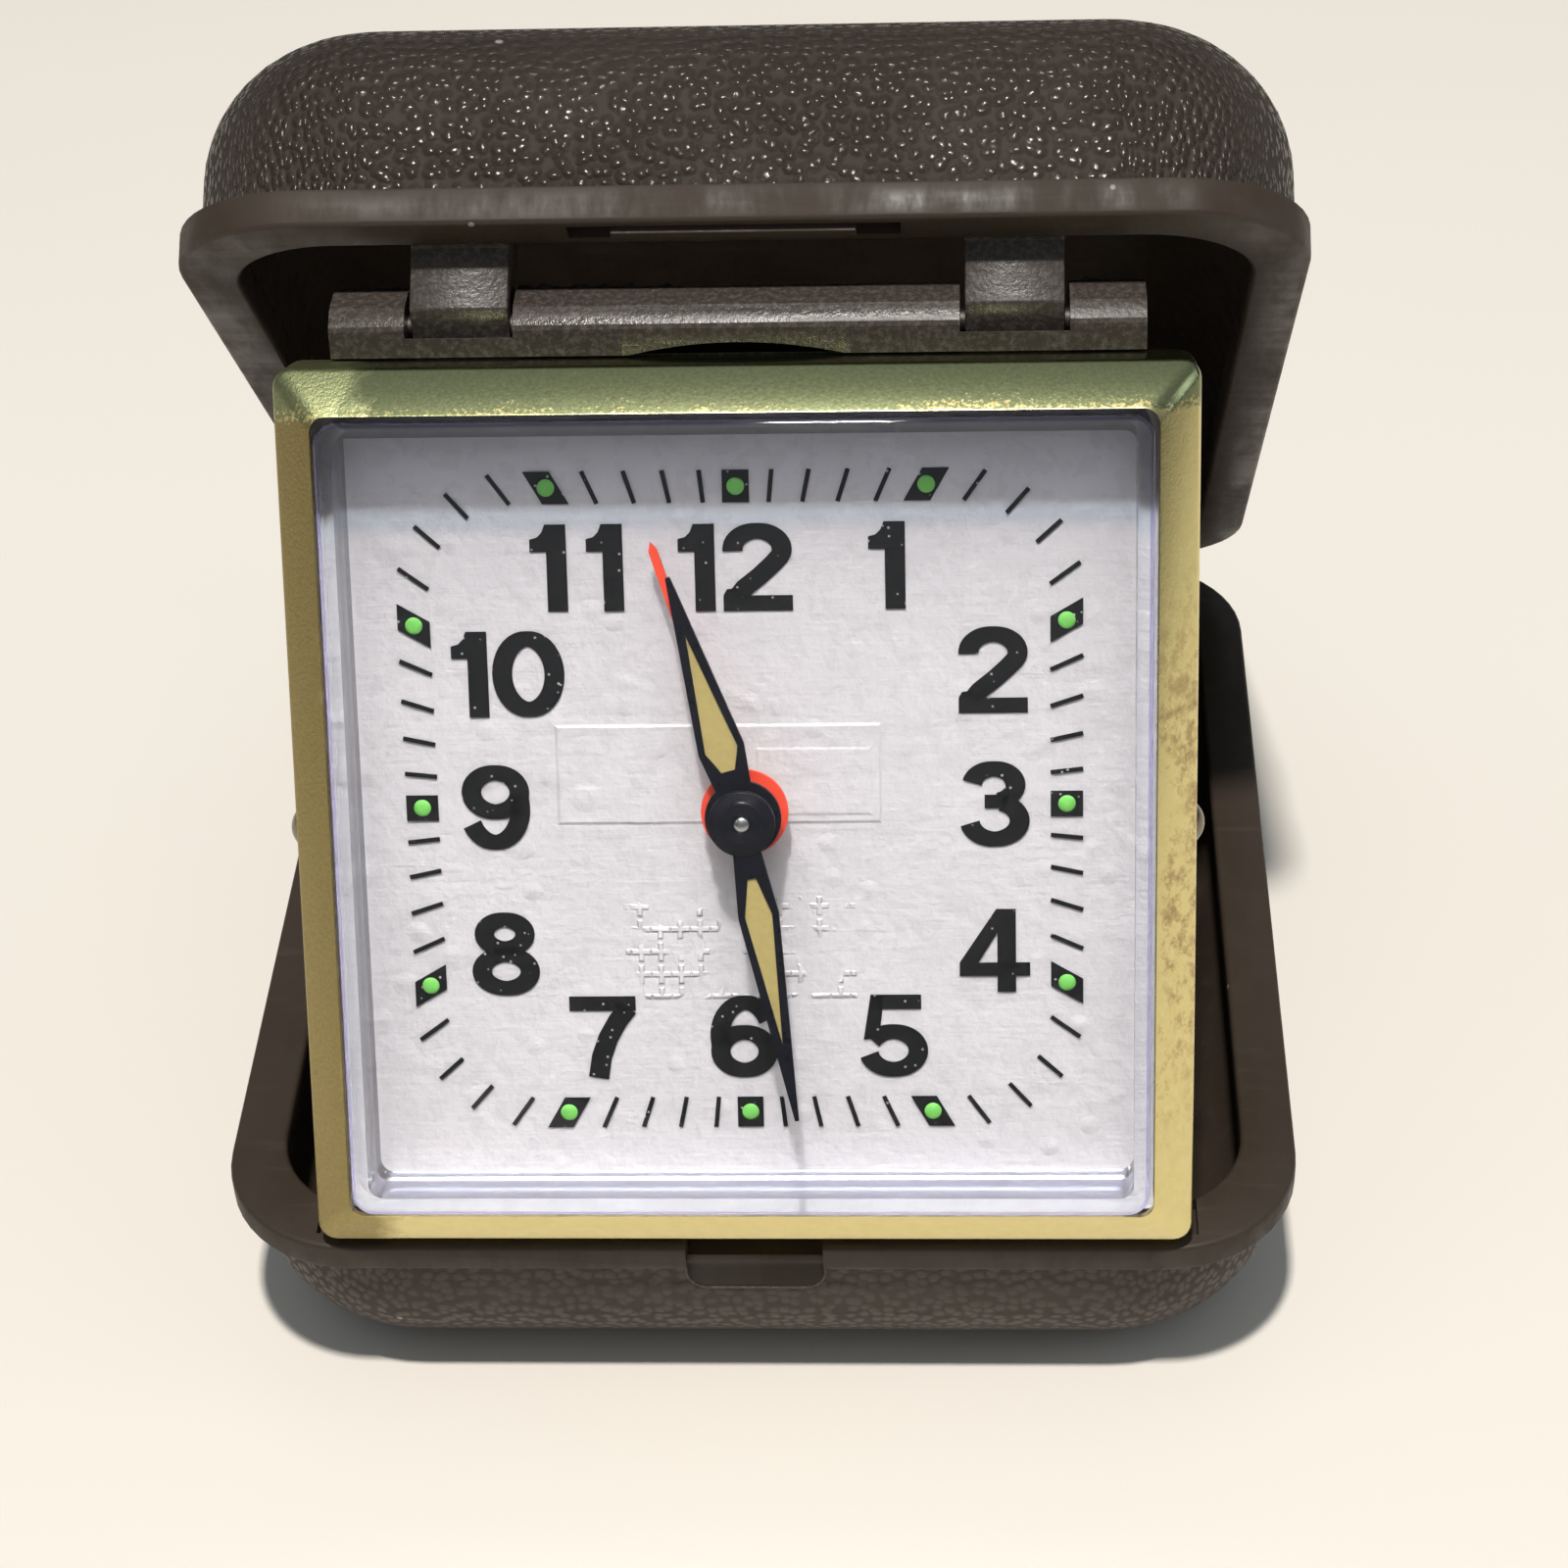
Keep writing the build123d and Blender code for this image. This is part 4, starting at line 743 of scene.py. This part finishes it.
bm = tray(base_height, base_band)
shift(bm, (0, -hinge_at.y / mm, -hinge_at.z / mm))
bm = with_knuckles(bm, False)
shift(bm, (0, hinge_at.y / mm, hinge_at.z / mm))
boss_half = notch_half + notch_back
boss = block((-boss_half, front + band_proud + shell_wall / 2, base_height - notch_depth - shell_wall),
             (boss_half, front + upper_reach + notch_back, base_height - base_band / 2))
bm = carve(bm, boss, "UNION")
notch = (2 * notch_half, 2 * notch_depth, notch_corner)
pad, slope = plate(*notch, 6, over + band_proud, -1)
slope = extend(pad, slope, (0, 0, -over - band_proud))
slope = extend(pad, slope, (0, 0, -notch_slope))
bmesh.ops.scale(pad, vec=(1, notch_inner / notch_depth, 1), verts=slope.verts)
outward(pad)
on_wall = Matrix.Translation((0, front + band_proud, base_height)) @ quarter_turn
bmesh.ops.transform(pad, verts=pad.verts, matrix=on_wall)
bm = carve(bm, pad)
for cut in (front_block(notch_half, -over, upper_reach, -ledge_drop),
            front_block(step_half, step_lip, rim_width + over, -step_depth),
            front_block(pocket_half, pocket_front, pocket_back, -pocket_depth)):
    bm = carve(bm, cut)
unroll(bm, Matrix.Identity(4))
finish_piece("base_case", bm, in_base, "case_smooth base_grain", "base", "base_shell")
lip = bmesh.new()
lip_outline = (notch[0] + 2 * lip_width, notch[1] + 2 * lip_width, notch_corner + lip_width)
loft(lip, [ring(lip, *outline, level) for outline, level in (
    (lip_outline, -lip_proud), (lip_outline, lip_proud), (notch, lip_proud), (notch, -lip_proud))], closed=True)
slice_at(lip, (0, -base_band, 0), (0, 1, 0), clear_outer=True)
bmesh.ops.holes_fill(lip, edges=open_edges(lip))
outward(lip)
finish_piece("notch_lip", lip, in_base @ on_wall, "frame_plastic", "base", bevel=0.05)

# %% [markdown]
# The lid is the same tray, two millimetres deeper and turned over. Its front rim has a
# slot for the catch plate, and two arms grow down from the front wall to the bar pin.
# An arm is a flat outline pulled to its width. Its end runs round the pin in an arc and
# stops at a flat face that looks to the front.

# %% Lid
slot_half = 10.0
slot_front = 0.7
slot_reach = 2.5
slot_height = 1.4
arm_start = 13.8
arm_width = 6.0
arm_radius = 1.7
arm_front = 2.1
arm_face_rise = 0.35
arm_face_setback = 0.5
arm_face_drop = 0.91
arm_root_height = 8.6
arm_chamfer = 3.0
arm_soft = 0.12
arm_steps = 14


def arm(start):
    pin = arm_setback - case_depth
    root = band_proud + shell_wall - case_depth
    rim = rim_width - case_depth
    low = rim_gap + lid_band
    fall = arm_face_rise + arm_face_drop
    run = arm_front - arm_face_setback
    points = [(root, low), (root, arm_root_height), (pin - arm_radius, arm_root_height),
              (pin + arm_radius, arm_root_height - arm_chamfer)]
    away = abs(arm_front * fall - arm_face_rise * run) / math.hypot(run, fall)
    last = -math.pi / 2 - math.atan2(fall, run) + math.acos(min(away / arm_radius, 1.0))
    for index in range(arm_steps + 1):
        angle = last * index / arm_steps
        points.append((pin + arm_radius * math.cos(angle), arm_radius * math.sin(angle) - arm_drop))
    points += [(pin - arm_front, arm_face_rise - arm_drop), (pin - arm_front, rim_gap), (rim, rim_gap), (rim, low)]
    bm = bmesh.new()
    face = bm.faces.new([bm.verts.new((start, y, z)) for y, z in points])
    extend(bm, face, (arm_width, 0, 0))
    outward(bm)
    soften(bm, [edge for edge in bm.edges if edge.calc_face_angle(0) > 0.5], arm_soft, 2)
    return bm


bm = tray(lid_height, lid_band)
turn_over = Matrix.Translation((0, -case_depth / 2, rim_gap + lid_height)) @ Matrix.Rotation(math.pi, 4, "X")
bmesh.ops.transform(bm, matrix=turn_over, verts=bm.verts)
bm = with_knuckles(bm, True)
bm = carve(bm, block((-slot_half, slot_front - case_depth, rim_gap - over),
                     (slot_half, slot_reach - case_depth, rim_gap + slot_height)))
unroll(bm, turn_over.inverted())
finish_piece("lid_case", bm, in_lid, "case_smooth case_grain", "lid", "lid_shell")
for name, start in (("lid_arm_left", -arm_start - arm_width), ("lid_arm_right", arm_start)):
    finish_piece(name, arm(start), in_lid, "frame_plastic", "lid")

# %% [markdown]
# Pieces whose imported shape is already right keep it. For a crisp but not razor-sharp
# look, a copy of the node's mesh is merged, its flat triangles are dissolved, and a
# narrow bevel rounds its edges. The hinge frame, the catch and the keys are done so.
# The bar of the hinge frame also gets its crown here: the front is cut at three levels
# and leaned back in steps, so it curves over to a top that looks straight up, and the
# hollow of the scallop gets a flat black as painted shade.

# %% Rounded copies of imported pieces
bar_front = 2.3
bar_top = 2.1
bar_bevel = 0.65
bar_foot = 1.65
bar_foot_front = 1.9
bar_crown = 0.1
bar_curve = [(1.36, 0.75), (1.0, 0.5), (0.65, 0.27), (0.3, 0.09)]
scallop_half = 6.9
scallop_reach = 1.4
scallop_rise = 0.85
near = 0.02
facing_back = -0.9
copy_weld = 0.002
flat_angle = math.radians(0.5)


def crown_bar(bm):
    for level, back in bar_curve[1:]:
        slice_at(bm, (0, 0, level), (0, 0, 1))
    heights = [(bar_top - bar_bevel, bar_curve[0])] + [(level, (level, back)) for level, back in bar_curve[1:]]
    for vert in bm.verts:
        if abs(vert.co.y + bar_front) < near:
            for height, (level, back) in heights:
                if abs(vert.co.z - height) < near:
                    vert.co = (vert.co.x, back - bar_front, level)
        elif abs(vert.co.z - bar_top) < near and abs(vert.co.y + bar_front - bar_bevel) < near:
            vert.co.y = bar_crown
    for side in (-1, 1):
        slice_at(bm, (side * scallop_half, 0, 0), (side, 0, 0))
    slice_at(bm, (0, 0, -bar_foot - near), (0, 0, 1))
    bm.normal_update()
    for face in bm.faces:
        middle = face.calc_center_median()
        deep = middle.y > scallop_reach - bar_front - near and face.normal.y < facing_back
        ceiling = face.normal.z < facing_back and middle.y > -bar_foot_front
        if abs(middle.x) < scallop_half and -bar_foot < middle.z < -scallop_rise and (deep or ceiling):
            # Painted shade: the scallop's hollow takes the flat black.
            face.material_index = 1


for node, place, materials, body, slot, bevel, shape, smooth in (
        ("hinge_frame", in_head, "bar_plastic hollow_black", "head", "frame_plastic", 0.12, crown_bar, 13),
        ("lid_catch", in_lid, "case_smooth", "lid", "frame_plastic", 0.06, None, 30),
        ("time_key", in_head, "key_brass", "time_winding", "key_brass", 0.15, None, 30),
        ("alarm_key", in_head, "key_brass", "alarm_winding", "key_brass", 0.15, None, 30)):
    bm = bmesh.new()
    bm.from_mesh(nodes[node].data)
    bmesh.ops.transform(bm, matrix=place.inverted() @ nodes[node].matrix_world, verts=bm.verts)
    bmesh.ops.remove_doubles(bm, verts=bm.verts, dist=copy_weld)
    bmesh.ops.dissolve_limit(bm, angle_limit=flat_angle, verts=bm.verts, edges=bm.edges)
    bm.normal_update()
    if shape:
        shape(bm)
    finish_piece(node + "_soft", bm, place, materials, body, node, bevel, smooth)

# %% [markdown]
# The moulded bar has a thin ragged ridge of flash along the back of its top, left where
# the two halves of the mould met. It is a strip of small steps whose height comes from
# a seeded random number, so it is the same on each run.

# %% Mould flash on the bar
bar_half = 24.7
flash_thickness = 0.08
flash_step = 0.35
flash_height = 0.32
flash_back = 1.5
flash_root = 0.1
flash_lean = 0.1
flash_least = 0.15
arm_room = 0.3
middle_end = -4.0


def flash(name, start, end, seed):
    chance = random.Random(seed)
    bm = bmesh.new()
    count = int((end - start) / flash_step)
    pairs = []
    for index in range(count + 1):
        x = start + (end - start) * index / count
        rise = flash_height * (flash_least + (1 - flash_least) * chance.random() ** 2)
        pairs.append((bm.verts.new((x, flash_back, bar_top - flash_root)),
                      bm.verts.new((x, flash_back - flash_lean * chance.random(), bar_top + rise))))
    strip(bm, pairs)
    bmesh.ops.solidify(bm, geom=bm.faces[:], thickness=flash_thickness)
    outward(bm)
    finish_piece(name, bm, in_head, "frame_plastic", "head")


flash("bar_flash_left", -bar_half, -arm_start - arm_width - arm_room, 3)
flash("bar_flash_middle", -arm_start + arm_room, middle_end, 5)
flash("bar_flash_right", arm_start + arm_width + arm_room, bar_half, 8)

# %% [markdown]
# From here on the flat pieces of the clock face are drawn lying down, X to the right,
# Y up the dial and Z towards the reader, and one quarter turn stands them up in the
# head. Z is then simply the distance in front of the bar pin. The bezel is stamped
# from sheet: straight sides, four slopes that meet in mitred corners, a narrow return
# at the window, and the same again inside, one sheet lower. Six rings are bridged into
# that closed band. The long edges are then bevelled, the outer one widest, as the
# press bends it most.

# %% Bezel
on_dial = at_middle @ quarter_turn
bezel_front = 5.0
bezel_back = 1.0
bezel_rise = 2.56
bezel_border = 2.6
bezel_sheet = 0.6
bezel_outer_soft = 0.3
bezel_inner_soft = 0.14
window_front = bezel_front + bezel_rise
bezel = (55.6, 55.8, 1.2)
window = (bezel[0] - 2 * bezel_border, bezel[1] - 2 * bezel_border, 0.9)
hollow = (bezel[0] - 2 * bezel_sheet, bezel[1] - 2 * bezel_sheet, window[2])
bm = bmesh.new()
rings = [ring(bm, *outline, level, 5) for outline, level in (
    (bezel, bezel_back), (bezel, bezel_front), (window, window_front), (window, window_front - bezel_sheet),
    (hollow, bezel_front - bezel_sheet / 2), (hollow, bezel_back))]
loft(bm, rings, closed=True)
outward(bm)
soften(bm, rings[1], bezel_outer_soft)
soften(bm, rings[2], bezel_inner_soft)
finish_piece("bezel_frame", bm, on_dial, "bezel_brass", "head", "bezel", smooth=28.0)

# %% [markdown]
# The crystal is a box without a back. A plate is raised to the front, its front edge
# is rounded, and rings for the flange and the inside are bridged on. Faces that look
# sideways get the wall plastic, slanting ones the edge plastic and the rest the clear
# one.

# %% Crystal box
crystal_room = 0.25
crystal_corner = 1.4
crystal_flange = 1.5
crystal_back = 1.95
crystal_sheet = 0.9
crystal_side = 1.0
crystal_soft = 0.42
wall_facing = 0.2
edge_facing = 0.97
flange_front = crystal_back + 0.95
crystal_front = window_front + 0.64
box = (window[0] - 2 * crystal_room, window[1] - 2 * crystal_room, crystal_corner)
flange = (box[0] + 2 * crystal_flange, box[1] + 2 * crystal_flange, crystal_corner)
inside = (box[0] - 2 * crystal_side, box[1] - 2 * crystal_side, crystal_corner - crystal_side / 2)
bm, face = plate(*box, level=flange_front)
face = extend(bm, face, (0, 0, crystal_front - flange_front), True)
soften(bm, face.edges, crystal_soft, 5)
box_foot = [edge for edge in open_edges(bm) if at_level(edge, flange_front)]
inside_lower = [ring(bm, *flange, flange_front), ring(bm, *flange, crystal_back), ring(bm, *inside, crystal_back)]
loft(bm, [box_foot, *inside_lower])
inside_upper = ring(bm, *inside, crystal_front - crystal_sheet)
loft(bm, [inside_lower[-1], inside_upper])
bmesh.ops.holes_fill(bm, edges=inside_upper)
outward(bm)
bm.normal_update()
for face in bm.faces:
    facing = abs(face.normal.z)
    face.material_index = 1 if facing < wall_facing else 2 if facing < edge_facing else 0
finish_piece("crystal_box", bm, on_dial, "crystal_face crystal_wall crystal_edge", "head",
             "crystal")

# %% [markdown]
# The dial card isn't flat. It has lifted into low waves, and a pressed panel and rows
# of small pressed marks show through from its back. The card is a fine grid, moved up
# and down by Noise and by two simple shapes, and the material adds what is finer.

# %% Dial card
card_front = 1.8
card_width = 53.6
card_height = 53.8
card_thickness = 0.2
card_sunk = 0.1
card_hole = 2.1
card_cells = 190
card_waves = ((0.13, 0.13, 3.0, 0.045), (0.55, 0.35, 7.0, 0.022))
highest_lift = 0.09
panel_half = (10.0, 3.2)
panel_middle = (-1.5, 1.7)
panel_edge = 0.17
panel_rise = 0.045
mark_rows = (-7.0, -8.6, -10.2, -11.6)
mark_step = 1.45
mark_first = -7.3
mark_count = 10
mark_radius = 0.28
mark_rise = 0.05
mark_share = -0.35


def ridge(distance, width):
    return math.exp(-(distance / width) ** 2)


def card_lift(x, y):
    lift = sum(noise_of(Vector((x * fine_x, y * fine_y, layer))) * rise
               for fine_x, fine_y, layer, rise in card_waves)
    past = max(abs(value - middle) - half for value, middle, half in zip((x, y), panel_middle, panel_half))
    lift += ridge(past, panel_edge) * panel_rise
    for row, level in enumerate(mark_rows):
        for index in range(mark_count):
            chance = math.sin(37.0 * index + 91.0 * row)
            if chance > mark_share:
                away = math.hypot(x - mark_first - index * mark_step, (y - level) * (1.0 + 0.5 * chance))
                lift += ridge(away, mark_radius) * mark_rise
    return min(lift, highest_lift)


bm = bmesh.new()
bmesh.ops.create_grid(bm, x_segments=card_cells, y_segments=card_cells, size=0.5)
bmesh.ops.scale(bm, vec=(card_width, card_height, 1), verts=bm.verts)
bmesh.ops.delete(bm, geom=[vert for vert in bm.verts if vert.co.length < card_hole], context="VERTS")
for vert in bm.verts:
    if vert.is_boundary and vert.co.length < card_hole * 1.5:
        vert.co = vert.co.normalized() * card_hole
layer = bm.loops.layers.uv.new("dial")
for face in bm.faces:
    for loop in face.loops:
        loop[layer].uv = loop.vert.co.xy
for vert in bm.verts:
    vert.co.z = card_front - card_sunk + card_lift(vert.co.x, vert.co.y)
pull(bm, bm.faces[:], (0, 0, -card_thickness / 2), use_keep_orig=True)
outward(bm)
finish_piece("dial_sheet", bm, on_dial, "dial_card", "head", "dial_card", smooth=60.0)

# %% [markdown]
# The minute track runs round a square with rounded corners. A tick points at the
# middle of the dial and is cut to the width of the track, so its length and its end
# angle change around the square. Track_reach gives the distance from the middle to a
# rounded square in any direction, and the rest follows from it. Every fifth mark is a
# block that carries a luminous dot.

# %% Minute track
print_lift = 0.02
print_level = card_front + 0.01
print_shift = (-0.22, -0.12)
track_half = 20.0
track_corner = 6.5
track_margin = 1.0
tick_half = 0.14
marker_half = 0.82
dot_radius = 0.55
dot_flatness = 0.3


def heading(minute):
    angle = math.radians(6 * minute)
    return math.sin(angle), math.cos(angle)


def track_reach(minute, margin):
    x, y = (abs(value) for value in heading(minute))
    half = track_half + margin
    corner = track_corner + margin
    reach = half / max(x, y)
    centre = half - corner
    if min(x, y) * reach > centre:
        along = centre * (x + y)
        reach = along + math.sqrt(max(along ** 2 - 2 * centre ** 2 + corner ** 2, 0))
    return reach


def mark_points(minute):
    x, y = heading(minute)
    if minute % 5:
        near, far = track_reach(minute, -track_margin), track_reach(minute, track_margin)
        run, half = (-y, x), tick_half
    else:
        near, far = ((track_half + margin) / max(abs(x), abs(y)) for margin in (-track_margin, track_margin))
        run, half = (1, 0) if abs(y) > abs(x) else (0, 1), marker_half
    return [(x * reach + side * run[0] * half, y * reach + side * run[1] * half)
            for reach, side in ((near, 1), (near, -1), (far, -1), (far, 1))]


track = bmesh.new()
dots = bmesh.new()
for minute in range(60):
    face = track.faces.new([track.verts.new((x, y, print_level)) for x, y in mark_points(minute)])
    extend(track, face, (0, 0, print_lift))
    if minute % 5 == 0:
        x, y = heading(minute)
        reach = track_half / max(abs(x), abs(y))
        place = Matrix.Translation((x * reach, y * reach, print_level)) @ Matrix.Diagonal((1, 1, dot_flatness, 1))
        bmesh.ops.create_uvsphere(dots, u_segments=20, v_segments=10, radius=dot_radius, matrix=place)
outward(track)
for bm in (track, dots):
    shift(bm, (*print_shift, 0))
finish_piece("minute_track", track, on_dial, "print_black", "head")
finish_piece("hour_dots", dots, on_dial, "glow_green", "head", smooth=60.0)

# %% [markdown]
# The figures are a bold sans serif, and a text object would bring its own font. So
# each figure is drawn as a pen would draw it: a path of lines and arcs, turned into a
# ribbon that is wider where the path runs up and down than where it runs across. The
# path is an edge chain, and the ribbon's faces come from pairs of points beside it.

# %% Pen strokes
pen_upright = 1.24
pen_level = 0.96
heavy_share = 1.04
arc_step = 10.0


def arc(x, y, across, along, start, end):
    count = max(2, int(abs(end - start) / arc_step))
    angles = [math.radians(start + (end - start) * index / count) for index in range(count + 1)]
    return [(x + across * math.cos(angle), y + along * math.sin(angle)) for angle in angles]


def ribbon(bm, path, at, closed=False, wide=1.0):
    pairs = []
    count = len(path)
    for index, (x, y) in enumerate(path):
        before = path[index - 1] if index > 0 or closed else path[index]
        after = path[(index + 1) % count] if index < count - 1 or closed else path[index]
        run = Vector((after[0] - before[0], after[1] - before[1])).normalized()
        half = (pen_level + (pen_upright - pen_level) * abs(run.y)) * wide / 2
        pairs.append([bm.verts.new((x + at[0] + side * run.y * half, y + at[1] - side * run.x * half,
                                    print_level)) for side in (1, -1)])
    strip(bm, pairs, closed)


def loop(bm, path, at):
    ribbon(bm, path, at, closed=True)


def heavy(bm, path, at):
    ribbon(bm, path, at, wide=heavy_share)


def patch(bm, points, at):
    bm.faces.new([bm.verts.new((x + at[0], y + at[1], print_level)) for x, y in points])


def bar(bm, sides, at):
    left, right, low, high = sides
    patch(bm, [(left, low), (right, low), (right, high), (left, high)], at)

# %% [markdown]
# Each figure is a short list of strokes. The nine is the six turned half round, and the
# rings of the eight and the nought are closed ribbons.

# %% Figures
top = 2.7
under_top = top - pen_level
over_foot = -under_top
six = [(loop, arc(0, -0.98, 1.5, 1.25, 0, 350)), (ribbon, arc(0.1, 0.05, 1.62, 2.18, 204, 28))]
figures = {
    0: [(loop, arc(0, 0, 1.62, top - pen_level / 2, 0, 350))],
    1: [(bar, (0.0, pen_upright, -top, top)),
        (patch, [(0.0, 1.0), (0.0, top), (-0.05, top), (-0.25, 2.2), (-0.55, 1.9), (-1.0, 1.78), (-1.0, 1.0)])],
    2: [(ribbon, arc(0, 1.12, 1.5, 1.12, 186, -22) + [(0.95, 0.22), (0.1, -0.55), (-0.85, -1.3), (-1.3, -1.9)]),
        (bar, (-2.12, 2.12, -top, over_foot)),
        (patch, [(-2.12, over_foot), (-1.0, over_foot), (-1.3, -1.3), (-1.9, -1.35)])],
    3: [(ribbon, arc(-0.05, 1.22, 1.34, 1.02, 172, -78)), (ribbon, arc(0, -1.06, 1.54, 1.18, 76, -172)),
        (bar, (-0.62, 0.3, -0.28, 0.6))],
    4: [(bar, (0.16, 1.32, -top, top)), (bar, (-2.2, 2.2, -1.66, -0.78)),
        (patch, [(-2.2, -0.78), (-1.02, -0.78), (0.16, 1.15), (0.16, top), (0.1, top)])],
    5: [(bar, (-1.45, 1.72, under_top, top)),
        (patch, [(-1.45, top), (-1.92, -0.25), (-0.95, -0.18), (-0.6, top)]),
        (ribbon, arc(-0.05, -0.98, 1.56, 1.25, 148, -168))],
    6: six,
    7: [(bar, (-2.1, 2.1, under_top, top)),
        (heavy, [(1.62, 1.95), (0.95, 1.1), (0.3, -0.05), (-0.15, -1.3), (-0.38, -top)])],
    8: [(loop, arc(0, 1.3, 1.28, 0.94, 0, 350)), (loop, arc(0, -1.14, 1.52, 1.1, 0, 350))],
    9: [(draw, [(-x, -y) for x, y in path]) for draw, path in six],
}

# %% [markdown]
# The hours stand where the real dial has them. They aren't on a circle, but follow the
# square track, so each has its own place. The whole print sits a fifth of a millimetre
# off the middle of the case, as on the real card.

# %% Hours
bm = bmesh.new()
for digit, x, y in (
        (1, -2.61, 15.0), (2, 1.23, 15.0), (1, 8.98, 15.05), (2, 15.5, 8.48), (3, 15.55, 0.0),
        (4, 15.5, -9.45), (5, 9.15, -15.0), (6, -0.3, -15.0), (7, -9.2, -15.0), (8, -15.2, -9.5),
        (9, -15.4, 0.0), (1, -16.79, 8.45), (0, -13.05, 8.45), (1, -11.67, 15.05), (1, -8.22, 15.05)):
    for draw, path in figures[digit]:
        draw(bm, path, (x + print_shift[0], y + print_shift[1]))
for face in bm.faces:
    face.normal_update()
    if face.normal.z < 0:
        face.normal_flip()
bmesh.ops.solidify(bm, geom=bm.faces[:], thickness=print_lift)
finish_piece("hour_figures", bm, on_dial, "print_black", "head", smooth=30.0)

# %% [markdown]
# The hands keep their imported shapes, because the black outline and the luminous
# filling are right there. What they lack is the turned cap on the minute hand and the
# steel end of the centre arbor. Both are profiles spun about the middle, and a profile
# is a list of radii and of heights above the minute hand.

# %% Cap of the hands
minute_front = card_front + 4.8


def spun(name, profile, segments, material, smooth):
    bm = bmesh.new()
    verts = [bm.verts.new((radius, 0, minute_front + level)) for radius, level in profile]
    edges = [bm.edges.new(pair) for pair in zip(verts, verts[1:])]
    bmesh.ops.spin(bm, geom=verts + edges, cent=(0, 0, 0), axis=(0, 0, 1), angle=math.tau,
                   steps=segments, use_merge=True)
    bmesh.ops.remove_doubles(bm, verts=bm.verts, dist=0.0002)
    outward(bm)
    finish_piece(name, bm, on_dial, material, "minute_work", smooth=smooth)


cap = [(0.56, 0), (2.05, 0), (2.05, 0.06), (1.98, 0.12), (1.5, 0.12), (1.42, 0.2), (1.3, 0.26), (1.12, 0.26),
       (1.0, 0.2), (0.62, 0.2), (0.56, 0.16), (0.56, 0)]
tip = [(0.0, 0.34), (0.2, 0.33), (0.38, 0.28), (0.5, 0.18), (0.52, 0.02), (0.0, 0.02)]
spun("minute_cap", cap, 48, "hand_black", 50.0)
spun("arbor_tip", tip, 32, "steel", 60.0)

# %% [markdown]
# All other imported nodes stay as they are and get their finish. Most material slots of
# the record have a finish of the same name, and a short table names the others.

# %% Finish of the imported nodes
other_finish = {"case_plastic": "case_smooth", "crystal_clear": "crystal_face", "glow": "glow_hand",
                "knob_metal": "can_steel"}
for entry in frame["record"]["subparts"]:
    node, slot = entry["node"], entry["material_slot"]
    finish = "pin_steel" if node == "bar_pin" else other_finish.get(slot, slot)
    nodes[node].data.materials.clear()
    nodes[node].data.materials.append(made[finish])

# %% [markdown]
# The clock stands on plain pale paper that fills the view. One small lamp, high up and
# a little in front, does most of the work: it throws the bezel's shadow on the top of
# the dial, and it sparkles on the leather grain of the lid. The world fills the
# shadows. It is bright overhead and dark near the horizon, like a room, so upright
# faces and the crystal stay free of glare. A cool narrow panel on the right draws the
# line on the crystal.

# %% Paper
shader, place = start_material("paper", (0.85, 0.80, 0.74), 0.75)
give(shader.inputs["Base Color"], blend(noise(place, 9, 4, 0.55), (0.84, 0.785, 0.715), (0.87, 0.825, 0.765)))
bm = bmesh.new()
bmesh.ops.create_grid(bm, x_segments=2, y_segments=2, size=2.0)
as_object("floor", bm, "paper")

# %% Light
clock_middle = Vector((0, 0, 0.04))


def panel(name, at, size, power, colour):
    light = bpy.data.lights.new(name, "AREA")
    light.shape = "RECTANGLE"
    light.size, light.size_y = size
    light.energy = power
    light.color = colour
    lamp = in_scene(name, light)
    lamp.location = at
    lamp.rotation_euler = (clock_middle - Vector(at)).to_track_quat("-Z", "Y").to_euler()


panel("key", (-0.012, -0.27, 0.97), (0.052, 0.052), 9.1, (1.0, 0.96, 0.90))
panel("side", (0.50, -0.05, 0.22), (0.06, 0.22), 0.12, (0.80, 0.90, 1.0))
world = bpy.data.worlds.new("studio")
bpy.context.scene.world = world
world.use_nodes = True
tree = world.node_tree
tree.nodes.clear()
height = add(tree, "SeparateXYZ", in_0=add(tree, "TexCoord")).outputs[2]
cool = (0.86, 0.95, 1.0)
stops = ((0.0, 0.06), (0.35, 0.18), (1.0, 0.38))
sky = ramp(height, *((position, tuple(level * share for share in cool)) for position, level in stops))
by_ray(add(tree, "OutputWorld"), "Is Camera Ray", add(tree, "Background", in_Color=sky),
       add(tree, "Background", in_Color=(0.93, 0.93, 0.90), in_Strength=0.95))
bpy.context.scene.view_settings.view_transform = "Standard"
print("lit")
